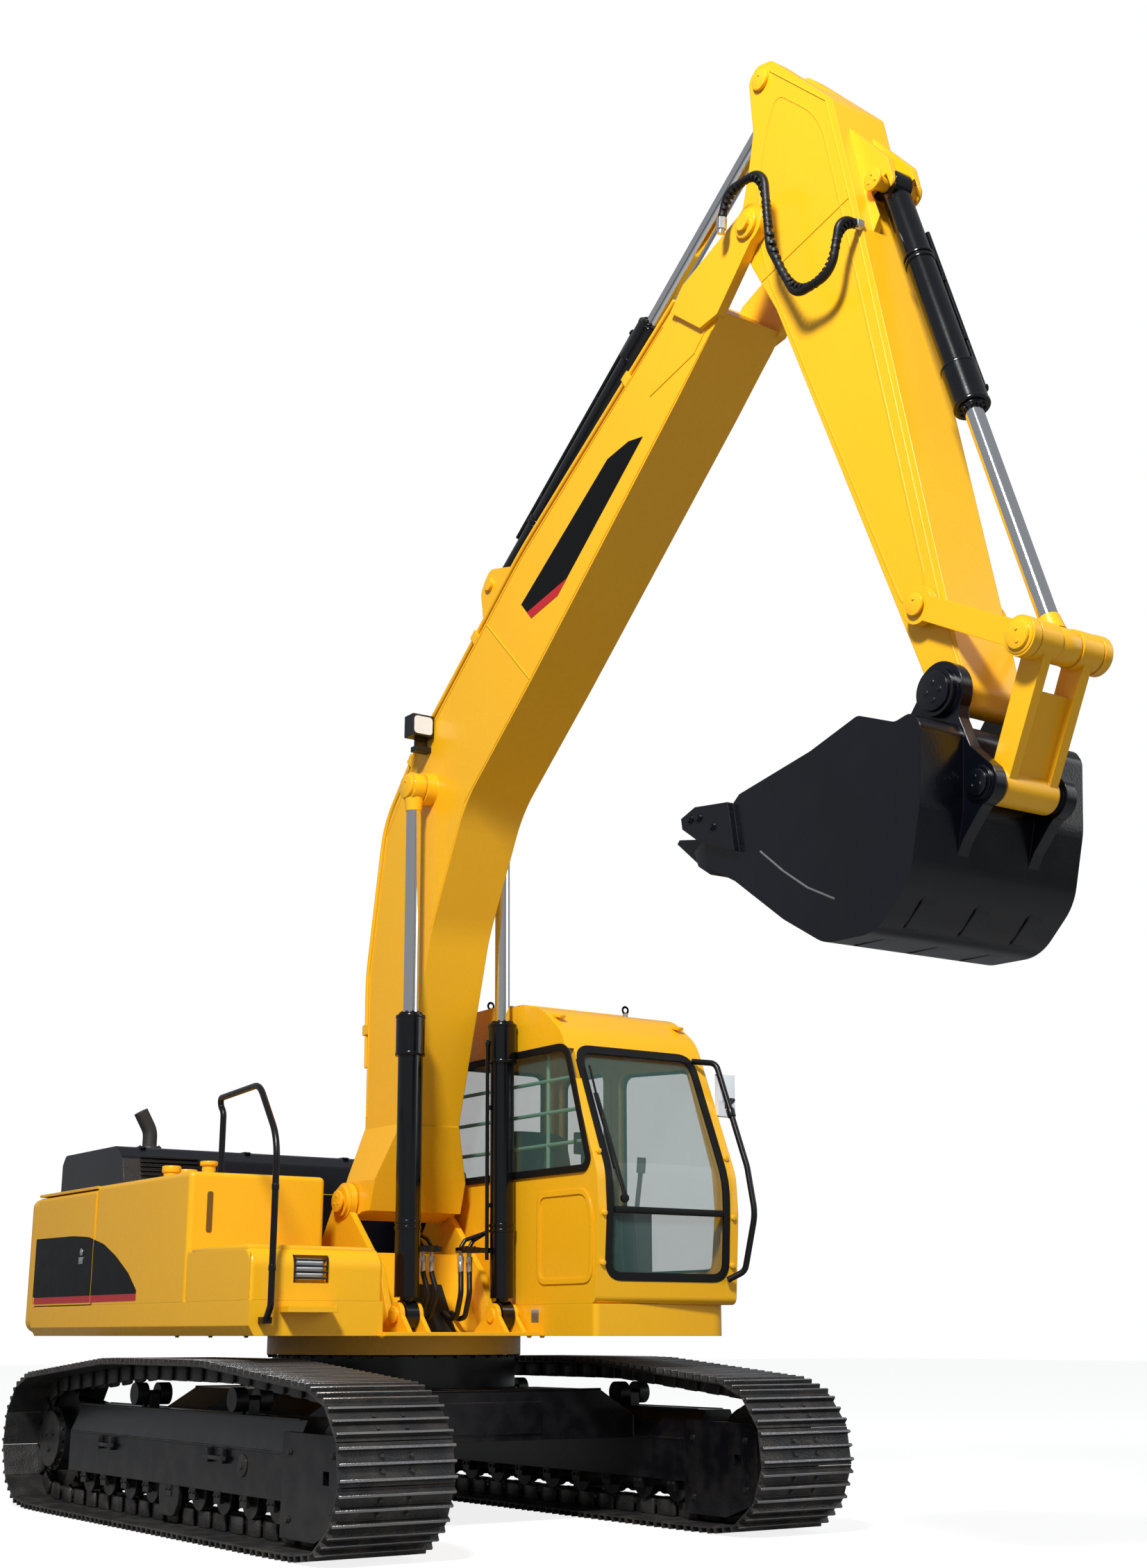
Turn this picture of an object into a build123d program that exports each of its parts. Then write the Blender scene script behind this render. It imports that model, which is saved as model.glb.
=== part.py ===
# Crawler excavator of the 21-tonne class, standing with its boom raised.
# Millimetres, +Z up, the front towards -Y and the cab on the +X side. The origin is on the
# ground, on the slewing axis.
import os
from math import atan2, hypot, sin, sqrt

from build123d import *

os.makedirs("parts", exist_ok=True)

# Undercarriage
gauge = 2390
shoe_width = 600
shoe_count = 49
shoe_plate = 12
grouser_height = 26
grouser_root = 24
grouser_tip = 13
tumbler_y = 1830
tumbler_z = 390
tumbler_radius = 360
carrier_y = 640
track_top_z = 870
ground_run = 1500
link_height = 95
link_inner = 48
link_width = 42
idler_flange = 20
roller_count = 9
roller_pitch = 305
roller_radius = 76
roller_flange = 14
hub_radius = 44
carrier_radius = 60
sprocket_teeth = 21
sprocket_tip = 314
sprocket_root = 284
sprocket_width = 64
drive_cover_radius = 182
drive_cover_out = 138
beam_half = 150
beam_bottom_z = 232
beam_shoulder_z = 450
beam_top_z = 600
beam_top_half = 85
beam_wall = 26
beam_front_y = -1400
beam_rear_y = 1450
yoke_wall = 45
yoke_front_y = -1990
yoke_top_z = 548
seat_gap = 0.3
frame_top_z = 700
frame_bottom_z = 440
frame_front_y = 885
frame_leg = 500
drum_radius = 690
drum_top_z = 879

# Revolving frame and body
slew_gap = 6
collar_radius = 722
deck_z = 1004
deck_plate = 20
deck_top_z = 1158
body_half = 1350
body_front_y = -912
body_rear_y = 2256
tail_radius = 2750
body_top_z = 1850
spine_right = -585
spine_left = 394
spine_front_y = -960
web_inner = 308
web_wall = 38
foot_boss_out = 368
tank_front_y = -107
tank_rear_y = 1262
tank_inner_x = -530
toolbox_inner_x = -592
toolbox_top_z = 1430
panel_wall = 32
panel_gap = 6
hinge_inset = 4
hinge_back = 24
hinge_pin = 8
hood_half = 1215
hood_front_y = 1180
hood_height = 250
hood_wall = 14
engine_half = 420
engine_front_y = 1240
engine_rear_y = 2100
engine_top_z = 1790
exhaust_place = (-880, 1640)
exhaust_radius = 45
counterweight_top_z = 1830

# Cab
cab_right_x = 394
cab_left_x = 1350
cab_front_y = -1446
cab_rear_y = 330
cab_base_z = 1150
cab_roof_z = 2862
cab_wall = 55
glass_thick = 6
glass_fit = 0.4
door_fit = 7
door_front_y = -1330
door_rear_y = -330
door_hinge_y = -312
rail_tube = 17

# Working arm: pins as (y, z) in the photographed pose
foot_pin = (20, 1729)
tip_pin = (-3661, 6251)
bucket_pin = (-4803, 3513)
boom_eye = (-620, 4060)
boom_base = (-665, 1094)
arm_base = (-1100, 5214)
arm_eye = (-3733, 7049)
bucket_base = (-4450, 6119)
link_pin = (-4692, 3931)
link_top = (-5245, 3630)
link_low = (-4994, 3087)
tooth_tip = (-3330, 3170)
boom_half = 195
boom_foot_half = 300
boom_ear = 28
arm_half = 165
arm_slot = 78
pin_gap = 0.8
side_gap = 6
foot_pin_radius = 45
tip_pin_radius = 42
link_pin_radius = 38
boom_cylinder_x = 305
boom_eye_half = 38
boom_barrel_radius = 68
boom_barrel_length = 1640
boom_rod_radius = 43
arm_eye_half = 58
arm_barrel_radius = 70
arm_barrel_length = 1825
arm_rod_radius = 50
bucket_eye_half = 50
bucket_barrel_radius = 66
bucket_barrel_length = 1365
bucket_rod_radius = 42
collar_step = 14
collar_length = 240
barrel_wall = 12
bore_start = 110
piston_long = 70
eye_radius = 84
side_link_wall = 42
side_link_in = 183
fork_in = 60
fork_out = 176
low_boss_half = 148
ear_in = 172
ear_out = 230
bucket_half = 465
bucket_side = 25
bucket_shell = 22
tooth_count = 5
tooth_width = 84


def save(piece, name):
    """Label a finished piece and write it to its own file."""
    piece.part.label = name
    export_step(piece.part, f"parts/{name}.step")


def local(start, end, along, off):
    """The (y, z) of a point given along and across the line between two pins."""
    reach = hypot(end[0] - start[0], end[1] - start[1])
    run = ((end[0] - start[0]) / reach, (end[1] - start[1]) / reach)
    return (start[0] + along * run[0] + off * run[1], start[1] + along * run[1] - off * run[0])


def across(points, x_from, x_to, mode=Mode.ADD, radius=0):
    """Extrude an outline of (y, z) points between two values of x."""
    with BuildSketch(Plane.YZ.offset(x_from)) as face:
        with BuildLine():
            FilletPolyline(*points, radius=radius, close=True)
        make_face()
    extrude(face.sketch, amount=x_to - x_from, mode=mode)


def bar(centre, radius, x_from, x_to, mode=Mode.ADD):
    """A round bar or hole along x, centred on a (y, z) point."""
    with BuildSketch(Plane.YZ.offset(x_from)) as face:
        with Locations(centre):
            Circle(radius)
    extrude(face.sketch, amount=x_to - x_from, mode=mode)


def block(x_from, x_to, y_from, y_to, z_from, z_to, mode=Mode.ADD, corner=0):
    """A box between its limits, its upright edges rounded by corner."""
    with BuildSketch(Plane.XY.offset(z_from)) as face:
        with Locations(((x_from + x_to) / 2, (y_from + y_to) / 2)):
            if corner:
                RectangleRounded(x_to - x_from, y_to - y_from, corner)
            else:
                Rectangle(x_to - x_from, y_to - y_from)
    extrude(face.sketch, amount=z_to - z_from, mode=mode)


def post(x, y, radius, z_from, z_to, mode=Mode.ADD):
    """A round upright post."""
    with BuildSketch(Plane.XY.offset(z_from)) as face:
        with Locations((x, y)):
            Circle(radius)
    extrude(face.sketch, amount=z_to - z_from, mode=mode)


def upright(points, z_from, z_to, mode=Mode.ADD, radius=0):
    """Extrude a plan outline of (x, y) points between two heights."""
    with BuildSketch(Plane.XY.offset(z_from)) as face:
        with BuildLine():
            FilletPolyline(*points, radius=radius, close=True)
        make_face()
    extrude(face.sketch, amount=z_to - z_from, mode=mode)


def fore_and_aft(points, y_from, y_to, mode=Mode.ADD, radius=0):
    """Extrude a cross-section of (x, z) points between two values of y."""
    with BuildSketch(Plane.XZ.offset(-y_from)) as face:
        with BuildLine():
            FilletPolyline(*points, radius=radius, close=True)
        make_face()
    extrude(face.sketch, amount=y_from - y_to, mode=mode)


def shaft(x, start, end, near, far, radius, mode=Mode.ADD):
    """A round shaft on the line between two pins, from near to far along it."""
    run = Vector(0, end[0] - start[0], end[1] - start[1]).normalized()
    origin = Vector(x, start[0], start[1]) + run * near
    with BuildSketch(Plane(origin=origin, x_dir=(1, 0, 0), z_dir=run)) as face:
        Circle(radius)
    extrude(face.sketch, amount=far - near, mode=mode)


def tube(points, radii, size):
    """Sweep a round tube along straight runs joined by arcs."""
    with BuildLine() as route:
        FilletPolyline(*points, radius=radii[1:-1])
    wire = route.wire()
    with BuildSketch(Plane(origin=wire @ 0, z_dir=wire % 0)) as face:
        Circle(size)
    sweep(face.sketch, path=wire)


def wheel(profile, centre, x_middle, mirrored=True):
    """Turn an (x, radius) outline about the x-parallel axis through centre."""
    outline = profile + [(-x, r) for x, r in reversed(profile)] if mirrored else profile
    hub = Plane(origin=(x_middle, *centre), x_dir=(1, 0, 0), z_dir=(0, -1, 0))
    with BuildSketch(hub) as face:
        with BuildLine():
            Polyline(*[(outline[0][0], 0), *outline, (outline[-1][0], 0)], close=True)
        make_face()
    revolve(face.sketch, axis=Axis((x_middle, *centre), (1, 0, 0)))


# Track: pin places spread evenly along the line of the shoe plates
plate_run_z = track_top_z - grouser_height
to_tumbler = (tumbler_y - carrier_y, tumbler_z - plate_run_z)
top_slope = sin(atan2(to_tumbler[1], to_tumbler[0])
                + atan2(tumbler_radius, sqrt(hypot(*to_tumbler) ** 2 - tumbler_radius ** 2)))
loop_end_y = tumbler_y + tumbler_radius
shoulder_z = plate_run_z + top_slope * (loop_end_y - carrier_y)
heel_z = tumbler_z - tumbler_radius
loop_corners = [(ground_run, grouser_height), (loop_end_y, heel_z), (loop_end_y, shoulder_z),
                (carrier_y, plate_run_z), (-carrier_y, plate_run_z),
                (-loop_end_y, shoulder_z), (-loop_end_y, heel_z), (-ground_run, grouser_height)]
corner_radii = [0, tumbler_radius, tumbler_radius, 0, 0, tumbler_radius, tumbler_radius, 0]
with BuildLine() as loop:
    FilletPolyline(*loop_corners, radius=corner_radii, close=True)
loop_wire = loop.wire()
shoe_joints = [loop_wire.position_at(loop_wire.length * i / shoe_count, PositionMode.LENGTH)
               for i in range(shoe_count)]
loop_middle = Vector(0, (heel_z + plate_run_z) / 2)


def shoe_outline(start, end):
    """The outer edge of one shoe: its plate with three bars across it."""
    run = (end - start).normalized()
    out = Vector(run.Y, -run.X)
    if out.dot(start - loop_middle) < 0:
        out = -out
    length = (end - start).length
    points = [start]
    for share in (0.13, 0.5, 0.87):
        middle = start + run * length * share
        for side, half in ((0, -grouser_root), (1, -grouser_tip), (1, grouser_tip), (0, grouser_root)):
            points.append(middle + run * half / 2 + out * grouser_height * side)
    return points


def inner_joints(depth):
    """The corners of the track's inside, a depth below the plates' outer face."""
    corners = []
    for i, joint in enumerate(shoe_joints):
        before = (joint - shoe_joints[i - 1]).normalized()
        after = (shoe_joints[(i + 1) % shoe_count] - joint).normalized()
        bisector = Vector(before.Y + after.Y, -before.X - after.X).normalized()
        if bisector.dot(joint - loop_middle) > 0:
            bisector = -bisector
        lean = sqrt((1 + before.dot(after)) / 2)
        corners.append(joint + bisector * (depth / lean))
    return corners


tread_outline = [p for i, joint in enumerate(shoe_joints)
                 for p in shoe_outline(joint, shoe_joints[(i + 1) % shoe_count])]


def ring(outer, inner, x_from, x_to):
    """Extrude the band between two closed outlines of (y, z) points."""
    with BuildSketch(Plane.YZ.offset(x_from)) as face:
        with BuildLine():
            Polyline(*[(p.X, p.Y) for p in outer], close=True)
        make_face()
        with BuildLine():
            Polyline(*[(p.X, p.Y) for p in inner], close=True)
        make_face(mode=Mode.SUBTRACT)
    extrude(face.sketch, amount=x_to - x_from)


sagitta = tumbler_radius - sqrt(tumbler_radius ** 2 - (loop_wire.length / shoe_count / 2) ** 2)
chain_depth = shoe_plate + link_height
idler_radius = tumbler_radius - sagitta - chain_depth - 1
rail_top_z = grouser_height + chain_depth
carrier_z = plate_run_z - chain_depth - carrier_radius - 4.2
roller_z = rail_top_z + roller_radius + seat_gap
link_outer = link_inner + link_width
bracket_in = beam_half - beam_wall
roller_ys = [roller_pitch * (i - (roller_count - 1) / 2) for i in range(roller_count)]

for side, name in ((1, "left"), (-1, "right")):
    middle = side * gauge / 2

    with BuildPart() as track:
        ring(tread_outline, inner_joints(shoe_plate), middle - shoe_width / 2, middle + shoe_width / 2)
        for x in (-link_outer, link_inner):
            ring(inner_joints(shoe_plate / 2), inner_joints(chain_depth), middle + x,
                 middle + x + link_width)
    save(track, f"track_{name}")

    # Box beam, open below over the rollers, with the forked yoke of the idler in front
    with BuildPart() as side_frame:
        fore_and_aft([(middle - beam_half, beam_bottom_z), (middle - bracket_in, beam_bottom_z),
                      (middle - bracket_in, beam_bottom_z + 75), (middle + bracket_in, beam_bottom_z + 75),
                      (middle + bracket_in, beam_bottom_z), (middle + beam_half, beam_bottom_z),
                      (middle + beam_half, beam_shoulder_z), (middle + beam_top_half, beam_top_z),
                      (middle - beam_top_half, beam_top_z), (middle - beam_half, beam_shoulder_z)],
                     beam_front_y - 60, beam_rear_y)
        for inner in (-bracket_in - 4 - yoke_wall, bracket_in + 4):
            across([(beam_front_y + 20, 75), (beam_front_y - 330, 75), (yoke_front_y, 160),
                    (yoke_front_y, yoke_top_z), (beam_front_y + 20, yoke_top_z)],
                   middle + inner, middle + inner + yoke_wall, radius=[8, 40, 60, 60, 20])
        for y in roller_ys:
            for wall in (-beam_half + 4, bracket_in - 2):
                block(middle + wall, middle + wall + beam_wall - 2, y - 38, y + 38, roller_z - 34,
                      beam_bottom_z + 1)
        for y in (-carrier_y, carrier_y):
            block(middle - 30, middle + 30, y - 55, y - 20, beam_top_z - 1, carrier_z)
            block(middle - 30, middle + 30, y + 20, y + 55, beam_top_z - 1, carrier_z)
        block(middle + bracket_in - 10, middle + beam_half + 14, -200, -90, 70, beam_bottom_z + 60)
        inboard = middle - side * (beam_half - 25)
        across([(beam_rear_y - 20, beam_bottom_z), (tumbler_y, tumbler_z - 225),
                (tumbler_y, tumbler_z + 225), (beam_rear_y - 20, beam_top_z - 20)],
               inboard - 25, inboard + 25)
        bar((tumbler_y, tumbler_z), 225, inboard - 25, inboard + 25)
        for x in (-beam_half - 30, beam_half + 30):
            block(middle + x - 45, middle + x + 45, tumbler_y * -1 - 30, tumbler_y * -1 + 30,
                  tumbler_z - 60, tumbler_z, mode=Mode.SUBTRACT)
    save(side_frame, f"side_frame_{name}")

    with BuildPart() as sprocket:
        with BuildSketch(Plane.YZ.offset(middle - sprocket_width / 2)) as teeth:
            with Locations((tumbler_y, tumbler_z)):
                Circle(sprocket_root)
                with PolarLocations(sprocket_root, sprocket_teeth):
                    Trapezoid(46, 2 * (sprocket_tip - sprocket_root), 74, rotation=-90)
        extrude(teeth.sketch, amount=sprocket_width)
        bar((tumbler_y, tumbler_z), drive_cover_radius, middle - side * (beam_half - 50) + side * seat_gap,
            middle + side * (drive_cover_out - 30))
        bar((tumbler_y, tumbler_z), drive_cover_radius - 22, middle + side * (drive_cover_out - 30),
            middle + side * drive_cover_out)
    save(sprocket, f"final_drive_{name}")

    # Front idler, the rollers that carry the frame and the two under the upper run
    with BuildPart() as rollers:
        wheel([(-bracket_in - 3.6, 48), (-link_outer - 12, 48), (-link_outer - 12, 80),
               (-link_outer - 3, 80),
               (-link_outer - 3, idler_radius), (-link_inner + 4, idler_radius),
               (-link_inner + 4, idler_radius + idler_flange)], (-tumbler_y, tumbler_z), middle)
        for y in roller_ys:
            wheel([(-bracket_in + 2.3, hub_radius - 14), (-link_outer - 17, hub_radius - 14),
                   (-link_outer - 17, roller_radius + roller_flange),
                   (-link_outer - 4, roller_radius + roller_flange),
                   (-link_outer - 4, roller_radius), (-link_inner + 8, roller_radius),
                   (-link_inner + 8, hub_radius + 18)], (y, roller_z), middle)
        for y in (-carrier_y, carrier_y):
            wheel([(-link_outer - 12, 34), (-link_outer - 12, carrier_radius),
                   (-link_inner + 14, carrier_radius),
                   (-link_inner + 14, 19.7)], (y, carrier_z), middle)
    save(rollers, f"idler_and_rollers_{name}")

# Car body: a centre box with four legs, and the drum that carries the slewing ring
with BuildPart() as car_body:
    leg_reach = gauge / 2 - beam_half
    fore_and_aft([(-leg_reach, frame_bottom_z), (leg_reach, frame_bottom_z), (leg_reach, beam_top_z - 40),
                  (leg_reach - 230, frame_top_z), (230 - leg_reach, frame_top_z),
                  (-leg_reach, beam_top_z - 40)],
                 -frame_front_y, frame_front_y)
    for side in (-1, 1):
        notch = [(side * (leg_reach + 1), frame_leg - frame_front_y), (side * (leg_reach - 340), -180),
                 (side * (leg_reach - 340), 180), (side * (leg_reach + 1), frame_front_y - frame_leg)]
        upright(notch, frame_bottom_z - 1, frame_top_z + 1, mode=Mode.SUBTRACT, radius=[0, 60, 60, 0])
    post(0, 0, drum_radius, frame_top_z, drum_top_z)
    block(-420, 420, -frame_front_y - 14, frame_front_y + 14, frame_bottom_z + 40, frame_top_z - 60)
save(car_body, "car_body")

# Revolving frame: collar, spine plate, two tall webs with the boom's bosses, cylinder ears
collar_z = drum_top_z + slew_gap
boss_radius = 84
with BuildPart() as upper_frame:
    post(0, 0, collar_radius, collar_z, deck_z - deck_plate)
    block(spine_right, spine_left, spine_front_y, body_rear_y, deck_z - deck_plate, deck_z)
    for side in (-1, 1):
        inner, outer = sorted((side * web_inner, side * (web_inner + web_wall)))
        across([(-560, deck_z), (-430, 1330), (foot_pin[0] - 80, foot_pin[1] - 60),
                (foot_pin[0] - 75, foot_pin[1] + 60),
                (foot_pin[0] + 70, foot_pin[1] + 60), (250, 1560), (560, deck_top_z),
                (body_rear_y - 8, deck_top_z),
                (body_rear_y - 8, deck_z)], inner, outer)
        bar(foot_pin, boss_radius + 22, inner, outer)
        near, far = sorted((side * (boom_foot_half + side_gap), side * foot_boss_out))
        bar(foot_pin, boss_radius, near, far)
        for shift in (boom_eye_half + side_gap, -boom_eye_half - side_gap - 26):
            ear_x = side * boom_cylinder_x + shift
            across([(boom_base[0] - 150, deck_z), (boom_base[0] - 62, boom_base[1]),
                    (boom_base[0] + 62, boom_base[1]),
                    (boom_base[0] + 190, deck_z)], ear_x, ear_x + 26)
            bar(boom_base, 66, ear_x, ear_x + 26)
        bar(boom_base, link_pin_radius, side * boom_cylinder_x - boom_eye_half - 42,
            side * boom_cylinder_x + boom_eye_half + 42)
    bar(foot_pin, foot_pin_radius, -foot_boss_out - 12, foot_boss_out + 12)
    across([(-430, deck_z), (-330, deck_z), (-60, 1420), (-90, 1440), (-150, 1440)], -web_inner, web_inner)
save(upper_frame, "upper_frame")

# Box decks on each side of the frame, with the step to the toolbox
with BuildPart() as side_decks:
    fore_and_aft([(-body_half, deck_z + 30), (-body_half + 30, deck_z - deck_plate),
                  (spine_right, deck_z - deck_plate),
                  (spine_right, deck_top_z), (-body_half, deck_top_z)], body_front_y, body_rear_y)
    block(-1180, -900, body_front_y - 95, body_front_y, deck_z + 95, deck_z + 125)
    upright([(cab_right_x, cab_front_y), (cab_left_x, cab_front_y + 60), (cab_left_x, body_rear_y),
             (cab_right_x, body_rear_y)], deck_z - deck_plate, cab_base_z, radius=[30, 130, 0, 0])
save(side_decks, "side_decks")

with BuildPart() as toolbox:
    across([(body_front_y, deck_top_z), (tank_front_y - 2, deck_top_z), (tank_front_y - 2, toolbox_top_z),
            (body_front_y, toolbox_top_z)], -body_half, toolbox_inner_x, radius=[0, 0, 12, 110])
    fillet(toolbox.edges().filter_by(Axis.Y).group_by(Axis.Z)[-1], 20)
    block(-1110, -905, body_front_y - 1, body_front_y + 60, 1245, 1385, mode=Mode.SUBTRACT)
save(toolbox, "toolbox")

with BuildPart() as fuel_tank:
    block(-body_half, tank_inner_x, tank_front_y, tank_rear_y, deck_top_z, body_top_z)
    fillet(fuel_tank.edges().filter_by(Axis.Z), 30)
    fillet(fuel_tank.faces().sort_by(Axis.Z)[-1].edges(), 28)
    for x, y, radius, height in ((-1150, 110, 38, 60), (-1180, 560, 45, 55), (-1000, 760, 55, 70)):
        post(x, y, radius, body_top_z, body_top_z + height)
save(fuel_tank, "fuel_tank")

with BuildPart() as counterweight:
    with BuildSketch(Plane.XY.offset(deck_z)) as tail:
        Circle(tail_radius)
        Rectangle(2 * body_half, 4 * tail_radius, mode=Mode.INTERSECT)
        with Locations((0, -tail_radius + body_rear_y)):
            Rectangle(4 * tail_radius, 2 * tail_radius, mode=Mode.SUBTRACT)
        fillet(tail.vertices().group_by(Axis.Y)[1], 110)
    extrude(tail.sketch, amount=counterweight_top_z - deck_z)
    fillet(counterweight.faces().sort_by(Axis.Z)[-1].edges().sort_by(Axis.Y)[1:], 55)
    fillet(counterweight.faces().sort_by(Axis.Z)[0].edges().sort_by(Axis.Y)[1:], 70)
save(counterweight, "counterweight")

# Side doors behind the tank and behind the cab
door_top_z = body_top_z - 22
with BuildPart() as pump_door:
    block(-body_half, -body_half + panel_wall, tank_rear_y + panel_gap, body_rear_y - panel_gap,
          deck_top_z + panel_gap, door_top_z)
    fillet(pump_door.edges().filter_by(Axis.Y).group_by(Axis.Z)[-1].sort_by(Axis.X)[0], 24)
    post(-body_half + hinge_inset, body_rear_y - hinge_back, hinge_pin, deck_top_z + seat_gap,
         deck_top_z + 60)
save(pump_door, "pump_door")

cooler_split_y = 1120
with BuildPart() as cooler_door:
    block(body_half - panel_wall, body_half, cooler_split_y + panel_gap, body_rear_y - panel_gap,
          deck_top_z + panel_gap, door_top_z)
    fillet(cooler_door.edges().filter_by(Axis.Y).group_by(Axis.Z)[-1].sort_by(Axis.X)[-1], 24)
    post(body_half - hinge_inset, body_rear_y - hinge_back, hinge_pin, cab_base_z + seat_gap,
         deck_top_z + 60)
save(cooler_door, "cooler_door")

# Fixed covers between the tank, the boom and the cab
with BuildPart() as body_covers:
    block(760, body_half, cab_rear_y + 24, cooler_split_y, cab_base_z, body_top_z)
    fillet(body_covers.edges().filter_by(Axis.Y).group_by(Axis.Z)[-1].sort_by(Axis.X)[-1], 28)
    block(tank_inner_x + 4, web_inner + web_wall, 640, cooler_split_y, deck_top_z, body_top_z - 40)
    block(web_inner + web_wall, 754, cab_rear_y + 30, cooler_split_y, cab_base_z, body_top_z - 40)
save(body_covers, "body_covers")

# Roof of the engine bay, open under the hood
with BuildPart() as bay_roof:
    block(-body_half + 2, body_half - 2, cooler_split_y + 4, body_rear_y - 6, body_top_z - 16, body_top_z)
    block(-hood_half + 70, hood_half - 70, hood_front_y + 70, body_rear_y - 106, body_top_z - 20,
          body_top_z + 4, mode=Mode.SUBTRACT)
    block(-body_half - 1, tank_inner_x + 1, 1000, tank_rear_y + 2, body_top_z - 20, body_top_z + 4,
          mode=Mode.SUBTRACT)
    for x, foot_z in ((-body_half + 60, deck_top_z), (body_half - 110, cab_base_z)):
        for y in (tank_rear_y + 30, body_rear_y - 80):
            block(x, x + 50, y, y + 50, foot_z, body_top_z - 16)
save(bay_roof, "bay_roof")

with BuildPart() as engine_hood:
    across([(hood_front_y, body_top_z + 4), (hood_front_y + 60, body_top_z + hood_height - 70),
            (hood_front_y + 150, body_top_z + hood_height),
            (body_rear_y - 60, body_top_z + hood_height), (body_rear_y - 12, body_top_z + hood_height - 60),
            (body_rear_y - 12, body_top_z + 4)], -hood_half, hood_half, radius=[0, 40, 60, 50, 30, 0])
    across([(hood_front_y + hood_wall, body_top_z),
            (hood_front_y + hood_wall + 58, body_top_z + hood_height - 76),
            (hood_front_y + 158, body_top_z + hood_height - hood_wall),
            (body_rear_y - 66, body_top_z + hood_height - hood_wall),
            (body_rear_y - 26, body_top_z + hood_height - 66), (body_rear_y - 26, body_top_z)],
           -hood_half + hood_wall, hood_half - hood_wall, mode=Mode.SUBTRACT)
    for x in (-900, 900):
        block(x - 40, x + 40, body_rear_y - 46, body_rear_y - 12, body_top_z + seat_gap, body_top_z + 12)
        bar((body_rear_y - 12, body_top_z + 6), 5.5, x - 40, x + 40)
    post(*exhaust_place, exhaust_radius + seat_gap, body_top_z + hood_height - 40,
         body_top_z + hood_height + 40,
         mode=Mode.SUBTRACT)
save(engine_hood, "engine_hood")

with BuildPart() as engine_block:
    block(-engine_half, engine_half, engine_front_y, engine_rear_y, deck_top_z, engine_top_z)
    block(-940, -engine_half, 1560, 1720, engine_top_z - 160, engine_top_z - 20)
save(engine_block, "engine_block")

# Tail pipe, fixed to the hood so that it lifts with it
with BuildPart() as exhaust:
    x, y = exhaust_place
    tube([(x, y, body_top_z - 30), (x, y, 2230), (x - 70, y, 2350)], [0, 130, 0], exhaust_radius)
save(exhaust, "exhaust")

# Cab: one outline, its inside and its windows
cab_outline = [(cab_front_y, cab_base_z), (cab_front_y - 34, 1640), (cab_front_y - 20, 1850), (-1120, 2640),
               (-900, cab_roof_z - 60), (-420, cab_roof_z), (cab_rear_y - 80, cab_roof_z - 6),
               (cab_rear_y, 2700), (cab_rear_y, cab_base_z)]
cab_radii = [40, 300, 300, 260, 300, 500, 120, 120, 10]
inner_outline = [(cab_front_y + cab_wall, cab_base_z + cab_wall), (cab_front_y - 34 + cab_wall, 1640),
                 (cab_front_y - 14 + cab_wall, 1840),
                 (-1080, 2600), (-880, cab_roof_z - 120), (-420, cab_roof_z - cab_wall),
                 (cab_rear_y - 120, cab_roof_z - 60),
                 (cab_rear_y - cab_wall, 2680), (cab_rear_y - cab_wall, cab_base_z + cab_wall)]
inner_radii = [40, 260, 260, 220, 260, 460, 80, 80, 10]
front_window = [(470, 1290), (1270, 1290), (1270, 2540), (470, 2540)]
side_window = [(-1395, 1905), (-1180, 2545), (190, 2545), (190, 1862), (-1360, 1862)]
side_radii = [40, 70, 60, 60, 60]
door_outline = [(door_front_y, cab_base_z + 40), (door_front_y - 60, 1660), (door_front_y - 40, 1880),
                (-1120, 2560),
                (door_rear_y, 2620), (door_rear_y, cab_base_z + 40)]
door_radii = [60, 200, 200, 90, 90, 60]
door_window = [(-1290, 1330), (-1330, 1660), (-1310, 1880), (-1080, 2490), (door_rear_y - 70, 2530),
               (door_rear_y - 70, 1330)]
rear_window = [(470, 1850), (1230, 1850), (1230, 2600), (470, 2600)]
rear_side_window = [(-250, 1900), (-250, 2560), (240, 2560), (240, 1900)]


def grown(points, amount):
    """Move every point away from the outline's middle, for a fit all round."""
    middle = (sum(p[0] for p in points) / len(points), sum(p[1] for p in points) / len(points))
    moved = []
    for p in points:
        reach = hypot(p[0] - middle[0], p[1] - middle[1])
        moved.append((p[0] + (p[0] - middle[0]) * amount / reach,
                      p[1] + (p[1] - middle[1]) * amount / reach))
    return moved


with BuildPart() as cab_shell:
    across(cab_outline, cab_right_x, cab_left_x, radius=cab_radii)
    across(inner_outline, cab_right_x + cab_wall, cab_left_x - cab_wall, mode=Mode.SUBTRACT,
           radius=inner_radii)
    fore_and_aft(front_window, cab_front_y + 400, cab_front_y - 200, mode=Mode.SUBTRACT, radius=70)
    across(side_window, cab_right_x - 1, cab_right_x + cab_wall + 1, mode=Mode.SUBTRACT, radius=side_radii)
    across(grown(door_outline, door_fit), cab_left_x - cab_wall - 1, cab_left_x + 1, mode=Mode.SUBTRACT,
           radius=door_radii)
    across(rear_side_window, cab_left_x - cab_wall - 1, cab_left_x + 1, mode=Mode.SUBTRACT, radius=60)
    fore_and_aft(rear_window, cab_rear_y + 1, cab_rear_y - cab_wall - 1, mode=Mode.SUBTRACT, radius=60)
    across([(cab_front_y - 22, 1626), (cab_front_y + 42, 1626), (cab_front_y + 42, 1654),
            (cab_front_y - 22, 1654)], 460, 1280)
save(cab_shell, "cab_shell")

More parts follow.
